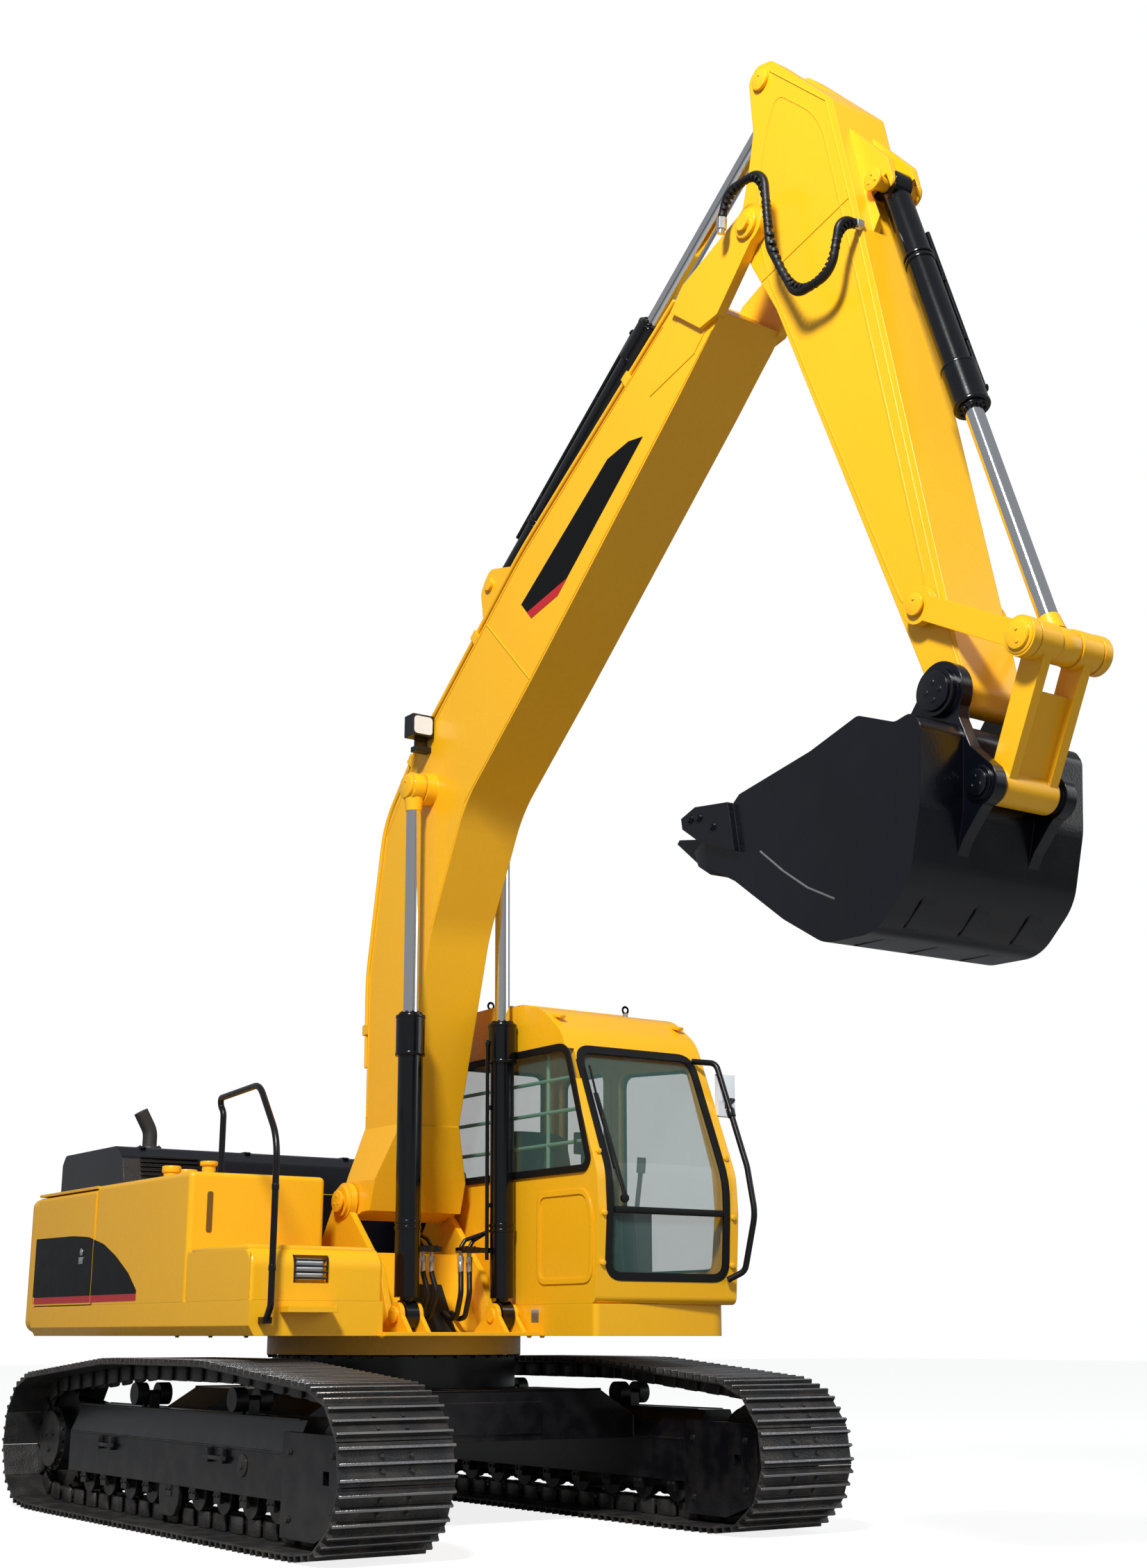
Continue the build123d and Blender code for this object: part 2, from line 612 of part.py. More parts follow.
with BuildPart() as cab_door:
    across(door_outline, cab_left_x - cab_wall + 6, cab_left_x, radius=door_radii)
    across(door_window, cab_left_x - cab_wall, cab_left_x + 1, mode=Mode.SUBTRACT,
           radius=[60, 150, 150, 70, 70, 60])
    for z in (1420, 2360):
        block(cab_left_x, cab_left_x + 11, door_rear_y - 50, door_rear_y, z, z + 90)
        block(cab_left_x + 1, cab_left_x + 11, door_rear_y - 50, door_hinge_y, z, z + 90)
        post(cab_left_x + 14, door_hinge_y, 13.5, z, z + 90)
save(cab_door, "cab_door")

with BuildPart() as door_glass:
    pane_x = cab_left_x - 30
    across(grown(door_window, -2 * glass_fit), pane_x, pane_x + glass_thick,
           radius=[60, 150, 150, 70, 70, 60])
save(door_glass, "door_glass")

# Panes, each set into its opening; the front ones follow the cab's front
with BuildPart() as cab_glass:
    across([(y + 24, z) for y, z in cab_outline], cab_right_x, cab_left_x, radius=cab_radii)
    across([(y + 24 + glass_thick, z) for y, z in cab_outline], cab_right_x - 1, cab_left_x + 1,
           mode=Mode.SUBTRACT, radius=cab_radii)
    fore_and_aft(grown(front_window, -2 * glass_fit), cab_front_y + 400, cab_front_y - 200,
                 mode=Mode.INTERSECT, radius=70)
    block(440, 1300, cab_front_y - 60, cab_front_y + 60, 1626 - glass_fit, 1654 + glass_fit,
          mode=Mode.SUBTRACT)
    across(grown(side_window, -2 * glass_fit), cab_right_x + 18, cab_right_x + 18 + glass_thick,
           radius=side_radii)
    across(grown(rear_side_window, -2 * glass_fit), cab_left_x - 30, cab_left_x - 30 + glass_thick,
           radius=60)
    fore_and_aft(grown(rear_window, -2 * glass_fit), cab_rear_y - 20, cab_rear_y - 20 - glass_thick,
                 radius=60)
save(cab_glass, "cab_glass")

floor_z = cab_base_z + cab_wall
with BuildPart() as operator_seat:
    block(700, 1000, -620, -260, floor_z + seat_gap, floor_z + 210, corner=30)
    block(600, 1100, -760, -220, floor_z + 210, floor_z + 340, corner=60)
    across([(-330, floor_z + 340), (-220, floor_z + 340), (-60, floor_z + 980), (-170, floor_z + 1000)],
           610, 1090, radius=30)
save(operator_seat, "operator_seat")

with BuildPart() as controls:
    for x_from, x_to in ((470, 590), (1115, 1250)):
        block(x_from, x_to, -820, -120, floor_z + seat_gap, floor_z + 480, corner=30)
        stick_x = (x_from + x_to) / 2
        shaft(stick_x, (-740, floor_z + 470), (-790, floor_z + 720), 0, 250, 14)
        shaft(stick_x, (-790, floor_z + 720), (-800, floor_z + 800), -20, 70, 26)
    for x in (790, 900):
        block(x - 40, x + 40, -1240, -1060, floor_z + seat_gap, floor_z + 30)
        shaft(x, (-1150, floor_z + 25), (-1120, floor_z + 420), 0, 395, 12)
save(controls, "controls")

# Tubes the crew hold, and the mirror on its stay
with BuildPart() as handrail_right:
    tube([(-1275, -952, 1060), (-1275, -1000, 1130), (-1275, -1000, 1960), (-1235, -680, 2268),
          (-1150, 60, 2262),
          (-1150, -52, 2190), (-1150, -52, body_top_z + 0.3)], [0, 45, 260, 200, 34, 60, 0], rail_tube)
    block(-1300, -1250, body_front_y - 58, body_front_y - seat_gap, 1044, 1076)
save(handrail_right, "handrail_right")

with BuildPart() as handrail_left:
    tube([(1262, -1197, 2520), (1330, -1330, 2500), (1372, -1540, 1900), (1372, -1600, 1640),
          (1340, -1540, 1330),
          (1270, -1473, 1282)], [0, 60, 300, 260, 60, 0], rail_tube)
    tube([(1348, -1417, 2250), (1405, -1400, 2290), (1410, -1310, 2300)], [0, 25, 0], 9)
    block(1350, 1470, -1322, -1292, 2200, 2440)
save(handrail_left, "handrail_left")

# Hoses from the opening in the frame up to the flanges of the boom cylinders
with BuildPart() as boom_hoses:
    for x in (-150, -95, 95, 150):
        lean = 18 if x > 0 else -18
        tube([(x, -560, 1385), (x, -566, 1320), (x - lean, -600, 1210), (x - lean / 2, -540, 1085),
              (x, -460, 1075), (x, -376, 1110)],
             [0, 140, 80, 50, 60, 0], 15)
save(boom_hoses, "boom_hoses")


def boom(along, above):
    return local(foot_pin, tip_pin, along, above)


def arm_at(along, front):
    return local(tip_pin, bucket_pin, along, front)


def bucket_at(along, deep):
    return local(bucket_pin, tooth_tip, along, deep)


boom_reach = hypot(tip_pin[0] - foot_pin[0], tip_pin[1] - foot_pin[1])
box_end = boom_reach - 430
boom_ridge = [(301, 297), (1000, 875), (1800, 1310), (2350, 1275), (3713, 955), (box_end, 370)]
boom_top = [boom(*p) for p in boom_ridge]
boom_under = [boom(*p) for p in ((box_end, -32), (4900, 52), (3200, 378), (2330, 562), (1590, 410),
                                 (98, -217))]
boom_foot = [(foot_pin[0] - 140, foot_pin[1] - 62), (foot_pin[0] - 20, foot_pin[1] - 104),
             (foot_pin[0] + 62, foot_pin[1] - 60), (foot_pin[0] + 62, foot_pin[1] + 150)]
with BuildPart() as boom_flare:
    across(boom_foot + [(foot_pin[0] + 45, 2160), (-360, 2160), boom_under[-1]], -boom_foot_half,
           boom_foot_half)
    fore_and_aft([(-boom_foot_half, 1500), (boom_foot_half, 1500), (boom_foot_half, 1840),
                  (boom_half, 2150),
                  (-boom_half, 2150), (-boom_foot_half, 1840)], 700, -900, mode=Mode.INTERSECT)
with BuildPart() as boom_box:
    across(boom_top + boom_under + boom_foot, -boom_half, boom_half,
           radius=[60, 900, 500, 900, 2600, 0, 0, 500, 600, 700, 900, 0, 0, 60, 60, 0])
    add(boom_flare.part)
    for side in (-1, 1):
        inner, outer = sorted((side * (arm_half + side_gap), side * (boom_half + boom_ear)))
        across([boom(box_end - 120, 370), boom(box_end + 30, 355), boom(boom_reach + 30, 96),
                boom(boom_reach + 20, -90),
                boom(box_end - 20, -40), boom(box_end - 120, 60)], inner, outer)
        bar(tip_pin, 104, inner, outer)
        near, far = sorted((side * (boom_half - 1), side * (boom_cylinder_x - boom_eye_half - side_gap)))
        bar(boom_eye, 96, near, far)
        near, far = sorted((side * (arm_eye_half + side_gap), side * (arm_eye_half + side_gap + 34)))
        across([boom(3050, 1080), boom(3330, 1400), boom(3480, 1400), boom(3700, 930)], near, far,
               radius=[0, 70, 70, 0])
    bar(arm_base, eye_radius + 12, -arm_eye_half - side_gap, arm_eye_half + side_gap, mode=Mode.SUBTRACT)
    shaft(0, arm_base, arm_eye, 0, 600, arm_barrel_radius + 22, mode=Mode.SUBTRACT)
    bar(tip_pin, tip_pin_radius, -boom_half - boom_ear - 40, boom_half + boom_ear + 40)
    bar(arm_base, link_pin_radius, -arm_eye_half - 60, arm_eye_half + 60)
    bar(foot_pin, foot_pin_radius + pin_gap, -boom_foot_half - 1, boom_foot_half + 1, mode=Mode.SUBTRACT)
save(boom_box, "boom")


def lifted(points, amount):
    """An open run of points moved to its left by amount, corners kept sharp."""
    runs = [Vector(b[0] - a[0], b[1] - a[1]).normalized() for a, b in zip(points, points[1:])]
    sides = [Vector(-run.Y, run.X) for run in runs]
    joined = [sides[0]] + [(a + b) / (1 + a.dot(b)) for a, b in zip(sides, sides[1:])] + [sides[-1]]
    return [(p[0] + n.X * amount, p[1] + n.Y * amount) for p, n in zip(points, joined)]


# Lines clipped along the top edge of the boom
line_rise = 46
with BuildPart() as boom_lines:
    for x in (-178, -132):
        line = [boom(*p) for p in lifted(boom_ridge, line_rise)]
        line[0] = boom(560, 560)
        line[-1] = boom(box_end - 60, 440)
        tube([(x, *p) for p in line], [0, 900, 500, 900, 2600, 0], 14)
    for step, share in ((0, 0.62), (2, 0.75), (3, 0.55), (4, 0.66)):
        start, end = boom_ridge[step], boom_ridge[step + 1]
        spot = [(start[0] + (end[0] - start[0]) * (share + d), start[1] + (end[1] - start[1]) * (share + d))
                for d in (0, 60 / hypot(end[0] - start[0], end[1] - start[1]))]
        across([boom(*p) for p in lifted(spot, seat_gap) + lifted(spot, line_rise + 20)[::-1]], -196, -112)
save(boom_lines, "boom_lines")

with BuildPart() as work_lamp:
    block(-300, -boom_half - seat_gap, -620, -560, 4290, 4320)
    block(-290, -210, -600, -580, 4320, 4370)
    block(-345, -205, -660, -560, 4370, 4500)
save(work_lamp, "work_lamp")

arm_reach = hypot(bucket_pin[0] - tip_pin[0], bucket_pin[1] - tip_pin[1])
arm_outline = [arm_at(*p) for p in ((-700, 270), (-500, 205), (-330, 85), (-150, -60), (0, -120),
                                    (180, -112), (520, -74),
                                    (arm_reach - 110, -84), (arm_reach + 55, -60), (arm_reach + 82, 20),
                                    (arm_reach + 20, 90), (arm_reach - 330, 158),
                                    (680, 535), (-150, 690), (-745, 472), (-815, 380), (-790, 300))]
arm_radii = [0, 200, 400, 120, 60, 300, 0, 100, 60, 50, 60, 0, 0, 60, 60, 60, 60]
with BuildPart() as arm:
    across(arm_outline, -arm_half, arm_half, radius=arm_radii)
    across([arm_at(*p) for p in ((-950, -200), (-330, -200), (-430, 200), (-430, 900), (-950, 900))],
           -arm_slot, arm_slot, mode=Mode.SUBTRACT)
    for side in (-1, 1):
        inner, outer = sorted((side * (bucket_eye_half + side_gap),
                               side * (bucket_eye_half + side_gap + 36)))
        across([arm_at(*p) for p in ((-60, 640), (360, 775), (500, 750), (640, 520))], inner, outer,
               radius=[0, 60, 60, 0])
    bar(bucket_base, eye_radius + 18, -bucket_eye_half - side_gap, bucket_eye_half + side_gap,
        mode=Mode.SUBTRACT)
    shaft(0, bucket_base, link_top, 0, 700, bucket_barrel_radius + 40, mode=Mode.SUBTRACT)
    bar(bucket_base, link_pin_radius, -bucket_eye_half - 70, bucket_eye_half + 70)
    bar(link_pin, link_pin_radius, -side_link_in - side_link_wall - 8, side_link_in + side_link_wall + 8)
    bar(tip_pin, tip_pin_radius + pin_gap, -arm_half - 1, arm_half + 1, mode=Mode.SUBTRACT)
    bar(bucket_pin, tip_pin_radius + pin_gap, -arm_half - 1, arm_half + 1, mode=Mode.SUBTRACT)
save(arm, "arm")

with BuildPart() as arm_hose:
    hose_x = -arm_half - 130
    tube([(hose_x, -3546, 6300), (hose_x, -3600, 6440), (hose_x, -3880, 6420), (hose_x, -3905, 5980),
          (hose_x, -4080, 5640), (hose_x, -4330, 5640), (hose_x, -4400, 5890),
          (-arm_half - seat_gap, -4400, 5890)],
         [0, 90, 110, 200, 110, 110, 60, 0], 20)
save(arm_hose, "arm_hose")


def barrel(x, base, eye, radius, length, bore, eye_half):
    """A hollow cylinder barrel with its base eye and stepped head."""
    bar(base, eye_radius - 6, x - eye_half, x + eye_half)
    shaft(x, base, eye, 0, bore_start, eye_half - 2)
    shaft(x, base, eye, bore_start - 18, length, radius)
    shaft(x, base, eye, length - collar_length, length - 28, radius + collar_step)
    shaft(x, base, eye, bore_start, length - 60, radius - barrel_wall, mode=Mode.SUBTRACT)
    shaft(x, base, eye, length - 61, length + 1, bore, mode=Mode.SUBTRACT)
    bar(base, link_pin_radius + pin_gap, x - eye_half - 1, x + eye_half + 1, mode=Mode.SUBTRACT)


def rod(x, base, eye, radius, piston, start, eye_half, eye_size):
    """A chromed rod with its piston inside the barrel and its eye outside."""
    reach = hypot(eye[0] - base[0], eye[1] - base[1])
    shaft(x, base, eye, start, start + piston_long, piston)
    shaft(x, base, eye, start, reach, radius)
    bar(eye, eye_size, x - eye_half, x + eye_half)


with BuildPart() as boom_barrels:
    for x in (-boom_cylinder_x, boom_cylinder_x):
        barrel(x, boom_base, boom_eye, boom_barrel_radius, boom_barrel_length, boom_rod_radius + pin_gap,
               boom_eye_half)
        inboard = -1 if x > 0 else 1
        flange = min(x, x + inboard * 205), max(x, x + inboard * 205)
        block(*flange, -640, -600, 1432, 1460)
        shaft(x, boom_base, boom_eye, bore_start, boom_barrel_length - 60, boom_barrel_radius - barrel_wall,
              mode=Mode.SUBTRACT)
save(boom_barrels, "boom_cylinder_barrels")

with BuildPart() as boom_rods:
    for x in (-boom_cylinder_x, boom_cylinder_x):
        rod(x, boom_base, boom_eye, boom_rod_radius, boom_barrel_radius - barrel_wall - pin_gap, 1330,
            boom_eye_half, eye_radius)
save(boom_rods, "boom_cylinder_rods")

with BuildPart() as arm_barrel:
    barrel(0, arm_base, arm_eye, arm_barrel_radius, arm_barrel_length, arm_rod_radius + pin_gap,
           arm_eye_half)
save(arm_barrel, "arm_cylinder_barrel")

with BuildPart() as arm_rod:
    rod(0, arm_base, arm_eye, arm_rod_radius, arm_barrel_radius - barrel_wall - pin_gap, 1330,
        arm_eye_half + 12, eye_radius)
save(arm_rod, "arm_cylinder_rod")

with BuildPart() as bucket_barrel:
    barrel(0, bucket_base, link_top, bucket_barrel_radius, bucket_barrel_length,
           bucket_rod_radius + pin_gap, bucket_eye_half)
save(bucket_barrel, "bucket_cylinder_barrel")

with BuildPart() as bucket_rod:
    rod(0, bucket_base, link_top, bucket_rod_radius, bucket_barrel_radius - barrel_wall - pin_gap, 975,
        fork_in - side_gap, eye_radius - 8)
save(bucket_rod, "bucket_cylinder_rod")

# Links that turn the bucket
with BuildPart() as side_links:
    for side in (-1, 1):
        inner, outer = sorted((side * side_link_in, side * (side_link_in + side_link_wall)))
        across([local(link_pin, link_top, a, h) for a, h in ((0, -55), (640, -55), (640, 55), (0, 55))],
               inner, outer, radius=10)
        bar(link_pin, 84, inner, outer)
        bar(link_top, 84, inner, outer)
        bar(link_pin, link_pin_radius + pin_gap, inner - 1, outer + 1, mode=Mode.SUBTRACT)
save(side_links, "side_links")

h_reach = hypot(link_low[0] - link_top[0], link_low[1] - link_top[1])
with BuildPart() as h_link:
    for side in (-1, 1):
        inner, outer = sorted((side * fork_in, side * fork_out))
        bar(link_top, 82, inner, outer)
        across([local(link_top, link_low, a, h) for a,
                h in ((0, -48), (h_reach, -48), (h_reach, 60), (0, 70))],
               min(side * 92, side * 138), max(side * 92, side * 138))
    across([local(link_top, link_low, a, h) for a,
            h in ((190, -10), (h_reach, -10), (h_reach, 34), (190, 34))], -100, 100)
    bar(link_low, 76, -low_boss_half, low_boss_half)
    bar(link_low, link_pin_radius + pin_gap, -low_boss_half - 1, low_boss_half + 1, mode=Mode.SUBTRACT)
save(h_link, "h_link")

# Bucket: side plates, curved shell, ears, lip with teeth
bucket_outline = [bucket_at(*p) for p in ((250, 20), (560, 30), (1040, 0), (1330, 120), (1345, 215),
                                          (1169, 364), (912, 654), (700, 850),
                                          (400, 925), (160, 790), (20, 520), (-70, 230), (-45, 155),
                                          (60, 150))]
bucket_radii = [60, 0, 0, 20, 20, 0, 300, 200, 220, 250, 300, 60, 60, 60]
with BuildPart() as bucket:
    across(bucket_outline, -bucket_half, bucket_half, radius=bucket_radii)
    with BuildSketch(Plane.YZ.offset(-bucket_half + bucket_side)) as cavity:
        with BuildLine():
            FilletPolyline(*bucket_outline, radius=bucket_radii, close=True)
        make_face()
        offset(amount=-bucket_shell, kind=Kind.INTERSECTION)
    extrude(cavity.sketch, amount=2 * (bucket_half - bucket_side), mode=Mode.SUBTRACT)
    across([bucket_at(*p) for p in ((290, -100), (290, 60), (560, 70), (1040, 60), (1290, 170), (1365, 100),
                                    (1365, -100))],
           -bucket_half + bucket_side, bucket_half - bucket_side, mode=Mode.SUBTRACT)
    for side in (-1, 1):
        inner, outer = sorted((side * ear_in, side * ear_out))
        across([bucket_at(*p) for p in ((125, -30), (250, 60), (170, 170), (10, 170), (-45, 230), (42, 500),
                                        (120, 700), (60, 640), (-60, 560), (-150, 520),
                                        (-175, 420), (-90, 290), (-70, 150), (-118, 0))], inner, outer)
        bar(bucket_pin, 132, inner, outer)
        bar(link_low, 92, inner, outer)
        near, far = sorted((side * (low_boss_half + side_gap), side * (ear_out + 12)))
        bar(link_low, 70, near, far)
        near, far = sorted((side * ear_out, side * (ear_out + 30)))
        bar(bucket_pin, 104, near, far)
        cutter = [bucket_at(*p) for p in ((1090, 20), (1311, -60), (1419, -51), (1422, 0), (1330, 100),
                                          (1104, 250))]
        inner, outer = sorted((side * (bucket_half - 1), side * (bucket_half + 32)))
        across(cutter, inner, outer)
    bar(bucket_pin, tip_pin_radius, -ear_out - 38, ear_out + 38)
    bar(link_low, link_pin_radius, -ear_out - 20, ear_out + 20)
save(bucket, "bucket")

with BuildPart() as bucket_teeth:
    pitch = 2 * (bucket_half - bucket_side - tooth_width / 2) / (tooth_count - 1)
    for i in range(tooth_count):
        x = (i - (tooth_count - 1) / 2) * pitch
        across([bucket_at(*p) for p in ((1325.2, 85), (1348.9, 235), (1400, 190), (1540, 12), (1520, 0))],
               x - tooth_width / 2, x + tooth_width / 2)
save(bucket_teeth, "bucket_teeth")

print("done")
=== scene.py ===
from math import atan2, cos, pi, radians, sin, sqrt

import bmesh
import bpy
from mathutils import Matrix, Vector


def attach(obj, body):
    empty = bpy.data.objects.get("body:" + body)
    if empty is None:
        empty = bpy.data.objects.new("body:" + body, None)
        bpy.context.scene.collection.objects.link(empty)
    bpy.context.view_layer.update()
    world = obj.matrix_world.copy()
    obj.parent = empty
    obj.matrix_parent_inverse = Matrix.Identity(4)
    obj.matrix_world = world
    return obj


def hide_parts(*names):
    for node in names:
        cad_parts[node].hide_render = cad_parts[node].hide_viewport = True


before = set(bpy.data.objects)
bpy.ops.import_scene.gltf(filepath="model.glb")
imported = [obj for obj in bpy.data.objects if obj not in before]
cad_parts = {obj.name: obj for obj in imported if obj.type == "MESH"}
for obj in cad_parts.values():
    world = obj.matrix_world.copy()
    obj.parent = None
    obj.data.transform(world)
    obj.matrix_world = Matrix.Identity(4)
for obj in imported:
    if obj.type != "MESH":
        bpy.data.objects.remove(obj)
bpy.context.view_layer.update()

# Crawler tracks. Each shoe is a rolled steel plate with three grouser bars, bolted with four
# bolts to a chain of forged links; the chain is closed round the sprocket and the idler.
gauge = 2.39
shoe_width = 0.6
shoe_count = 49
tumbler_y, tumbler_z, tumbler_radius = 1.83, 0.39, 0.36
grouser = 0.026
plate_run_z = 0.844
carrier_y = 0.64
ground_run = 1.5


def coat(name, color, rough, metal=0.0, tint=0.08, grain=0.02, dust=0.0, edge=0.004, shine=0.5):
    """A painted or bare metal with uneven colour, fine texture, soft edges and dust low down."""
    material = bpy.data.materials.new(name)
    material.use_nodes = True
    nodes, links = material.node_tree.nodes, material.node_tree.links
    shader = nodes["Principled BSDF"]
    shader.inputs["Metallic"].default_value = metal
    shader.inputs["Specular IOR Level"].default_value = shine
    place = nodes.new("ShaderNodeTexCoord")
    cloud = nodes.new("ShaderNodeTexNoise")
    cloud.inputs["Scale"].default_value = 1.7
    cloud.inputs["Detail"].default_value = 6
    links.new(place.outputs["Object"], cloud.inputs["Vector"])
    shade = nodes.new("ShaderNodeMix")
    shade.data_type = "RGBA"
    shade.inputs[6].default_value = (*[c * (1 - tint) for c in color], 1)
    shade.inputs[7].default_value = (*[min(1, c * (1 + tint)) for c in color], 1)
    links.new(cloud.outputs["Fac"], shade.inputs[0])
    dirt = nodes.new("ShaderNodeMix")
    dirt.data_type = "RGBA"
    dirt.inputs[7].default_value = (0.23, 0.2, 0.15, 1)
    links.new(shade.outputs[2], dirt.inputs[6])
    height = nodes.new("ShaderNodeSeparateXYZ")
    links.new(place.outputs["Object"], height.inputs[0])
    fade = nodes.new("ShaderNodeMapRange")
    fade.inputs[1].default_value, fade.inputs[2].default_value = 0.0, 1.0
    fade.inputs[3].default_value, fade.inputs[4].default_value = dust, dust * 0.15
    links.new(height.outputs[2], fade.inputs[0])
    speck = nodes.new("ShaderNodeTexNoise")
    speck.inputs["Scale"].default_value = 9
    speck.inputs["Detail"].default_value = 8
    links.new(place.outputs["Object"], speck.inputs["Vector"])
    spread = nodes.new("ShaderNodeMapRange")
    spread.inputs[1].default_value, spread.inputs[2].default_value = 0.42, 0.68
    links.new(speck.outputs["Fac"], spread.inputs[0])
    amount = nodes.new("ShaderNodeMath")
    amount.operation = "MULTIPLY"
    links.new(spread.outputs[0], amount.inputs[0])
    links.new(fade.outputs[0], amount.inputs[1])
    links.new(amount.outputs[0], dirt.inputs[0])
    links.new(dirt.outputs[2], shader.inputs["Base Color"])
    gloss = nodes.new("ShaderNodeMapRange")
    gloss.inputs[3].default_value, gloss.inputs[4].default_value = rough * 0.8, min(1, rough * 1.25)
    links.new(speck.outputs["Fac"], gloss.inputs[0])
    links.new(gloss.outputs[0], shader.inputs["Roughness"])
    fine = nodes.new("ShaderNodeTexNoise")
    fine.inputs["Scale"].default_value = 90
    links.new(place.outputs["Object"], fine.inputs["Vector"])
    bump = nodes.new("ShaderNodeBump")
    bump.inputs["Strength"].default_value = grain
    bump.inputs["Distance"].default_value = 0.01
    links.new(fine.outputs["Fac"], bump.inputs["Height"])
    if edge:
        soft = nodes.new("ShaderNodeBevel")
        soft.samples = 4
        soft.inputs["Radius"].default_value = edge
        links.new(soft.outputs[0], bump.inputs["Normal"])
    links.new(bump.outputs[0], shader.inputs["Normal"])
    return material


def piece(name, shape, body, material, smooth=35):
    """Turns a finished bmesh into an object that rides on a body."""
    bmesh.ops.recalc_face_normals(shape, faces=shape.faces)
    mesh = bpy.data.meshes.new(name)
    shape.to_mesh(mesh)
    shape.free()
    made = bpy.data.objects.new(name, mesh)
    bpy.context.scene.collection.objects.link(made)
    mesh.materials.append(material)
    mesh.polygons.foreach_set("use_smooth", [True] * len(mesh.polygons))
    mesh.set_sharp_from_angle(angle=radians(smooth))
    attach(made, body)
    return made


def paint(material, *nodes):
    """Gives CAD nodes their material."""
    for node in nodes:
        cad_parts[node].data.materials[0] = material


def soften(shape, faces, width, steps=2):
    """Rounds the edges of some faces."""
    edges = list({e for f in faces for e in f.edges})
    bmesh.ops.bevel(shape, geom=edges, offset=width, segments=steps, profile=0.5, affect="EDGES",
                    material=-1)


def slab(shape, points, low, high, across="x", round_off=0.0, steps=2):
    """Extrudes an outline between two planes: (y, z) points across x, (x, z) across y, (x, y) across z."""
    spot = {"x": lambda p, d: (d, p[0], p[1]), "y": lambda p, d: (p[0], d, p[1]), "z": lambda p,
            d: (p[0], p[1], d)}[across]
    face = shape.faces.new([shape.verts.new(spot(p, low)) for p in points])
    grown = bmesh.ops.extrude_face_region(shape, geom=[face], use_keep_orig=True)
    moved = [v for v in grown["geom"] if isinstance(v, bmesh.types.BMVert)]
    bmesh.ops.translate(shape, verts=moved, vec=Vector(spot((0, 0), high - low)))
    faces = list({f for v in moved + list(face.verts) for f in v.link_faces})
    if round_off:
        soften(shape, faces, round_off, steps)


def brick(shape, low, high, round_off=0.004, steps=2):
    """A block between two corners with rounded edges."""
    made = bmesh.ops.create_cube(shape, size=1)["verts"]
    bmesh.ops.scale(shape, verts=made, vec=[h - l for l, h in zip(low, high)])
    bmesh.ops.translate(shape, verts=made, vec=[(l + h) / 2 for l, h in zip(low, high)])
    if round_off:
        soften(shape, list({f for v in made for f in v.link_faces}), round_off, steps)


def turned(shape, start, end, radius, sides=32, round_off=0.0, taper=None):
    """A round or many-sided bar between two points."""
    start, end = Vector(start), Vector(end)
    aim = (end - start).to_track_quat("Z", "Y").to_matrix().to_4x4()
    made = bmesh.ops.create_cone(shape, cap_ends=True, segments=sides, radius1=radius,
                                 radius2=radius if taper is None else taper, depth=(end - start).length,
                                 matrix=Matrix.Translation((start + end) / 2) @ aim)["verts"]
    if round_off:
        caps = [f for f in {f for v in made for f in v.link_faces} if len(f.verts) > 4]
        soften(shape, caps, round_off)


def bolt(shape, spot, way, size=0.012, high=0.009):
    """A hexagon bolt head on its washer."""
    spot, way = Vector(spot), Vector(way).normalized()
    turned(shape, spot, spot + way * high * 0.25, size * 1.35, 16)
    turned(shape, spot + way * high * 0.2, spot + way * high, size, 6, taper=size * 0.94)


def slope_angle():
    """Slope of the chain from the carrier roller down to the sprocket or idler."""
    run, rise = tumbler_y - carrier_y, tumbler_z - plate_run_z
    return atan2(rise, run) + atan2(tumbler_radius, sqrt(run * run + rise * rise - tumbler_radius ** 2))


def chain_points():
    """Places of the chain's joints, spaced evenly along the line of the plates."""
    lean = slope_angle()
    path = [("line", (0, grouser), (ground_run, grouser)),
            ("line", (ground_run, grouser), (tumbler_y, tumbler_z - tumbler_radius)),
            ("arc", -pi / 2, pi / 2 - abs(lean))]
    quarter = []
    for part in path:
        if part[0] == "line":
            quarter += [Vector(part[1]).lerp(Vector(part[2]), i / 60) for i in range(60)]
        else:
            quarter += [Vector((tumbler_y + tumbler_radius * cos(a), tumbler_z + tumbler_radius * sin(a)))
                        for a in [part[1] + (part[2] - part[1]) * i / 90 for i in range(90)]]
    end = Vector((tumbler_y + tumbler_radius * sin(abs(lean)), tumbler_z + tumbler_radius * cos(lean)))
    top = Vector((carrier_y, plate_run_z))
    quarter += [end.lerp(top, i / 60) for i in range(60)]
    quarter += [top.lerp(Vector((0, plate_run_z)), i / 30) for i in range(31)]
    line = quarter + [Vector((-p.x, p.y)) for p in reversed(quarter[:-1])]
    reach = [0.0]
    for a, b in zip(line, line[1:]):
        reach.append(reach[-1] + (b - a).length)
    spots, k = [], 0
    for i in range(shoe_count):
        goal = reach[-1] * i / shoe_count
        while reach[k + 1] < goal:
            k += 1
        spots.append(line[k].lerp(line[k + 1], (goal - reach[k]) / (reach[k + 1] - reach[k])))
    return spots


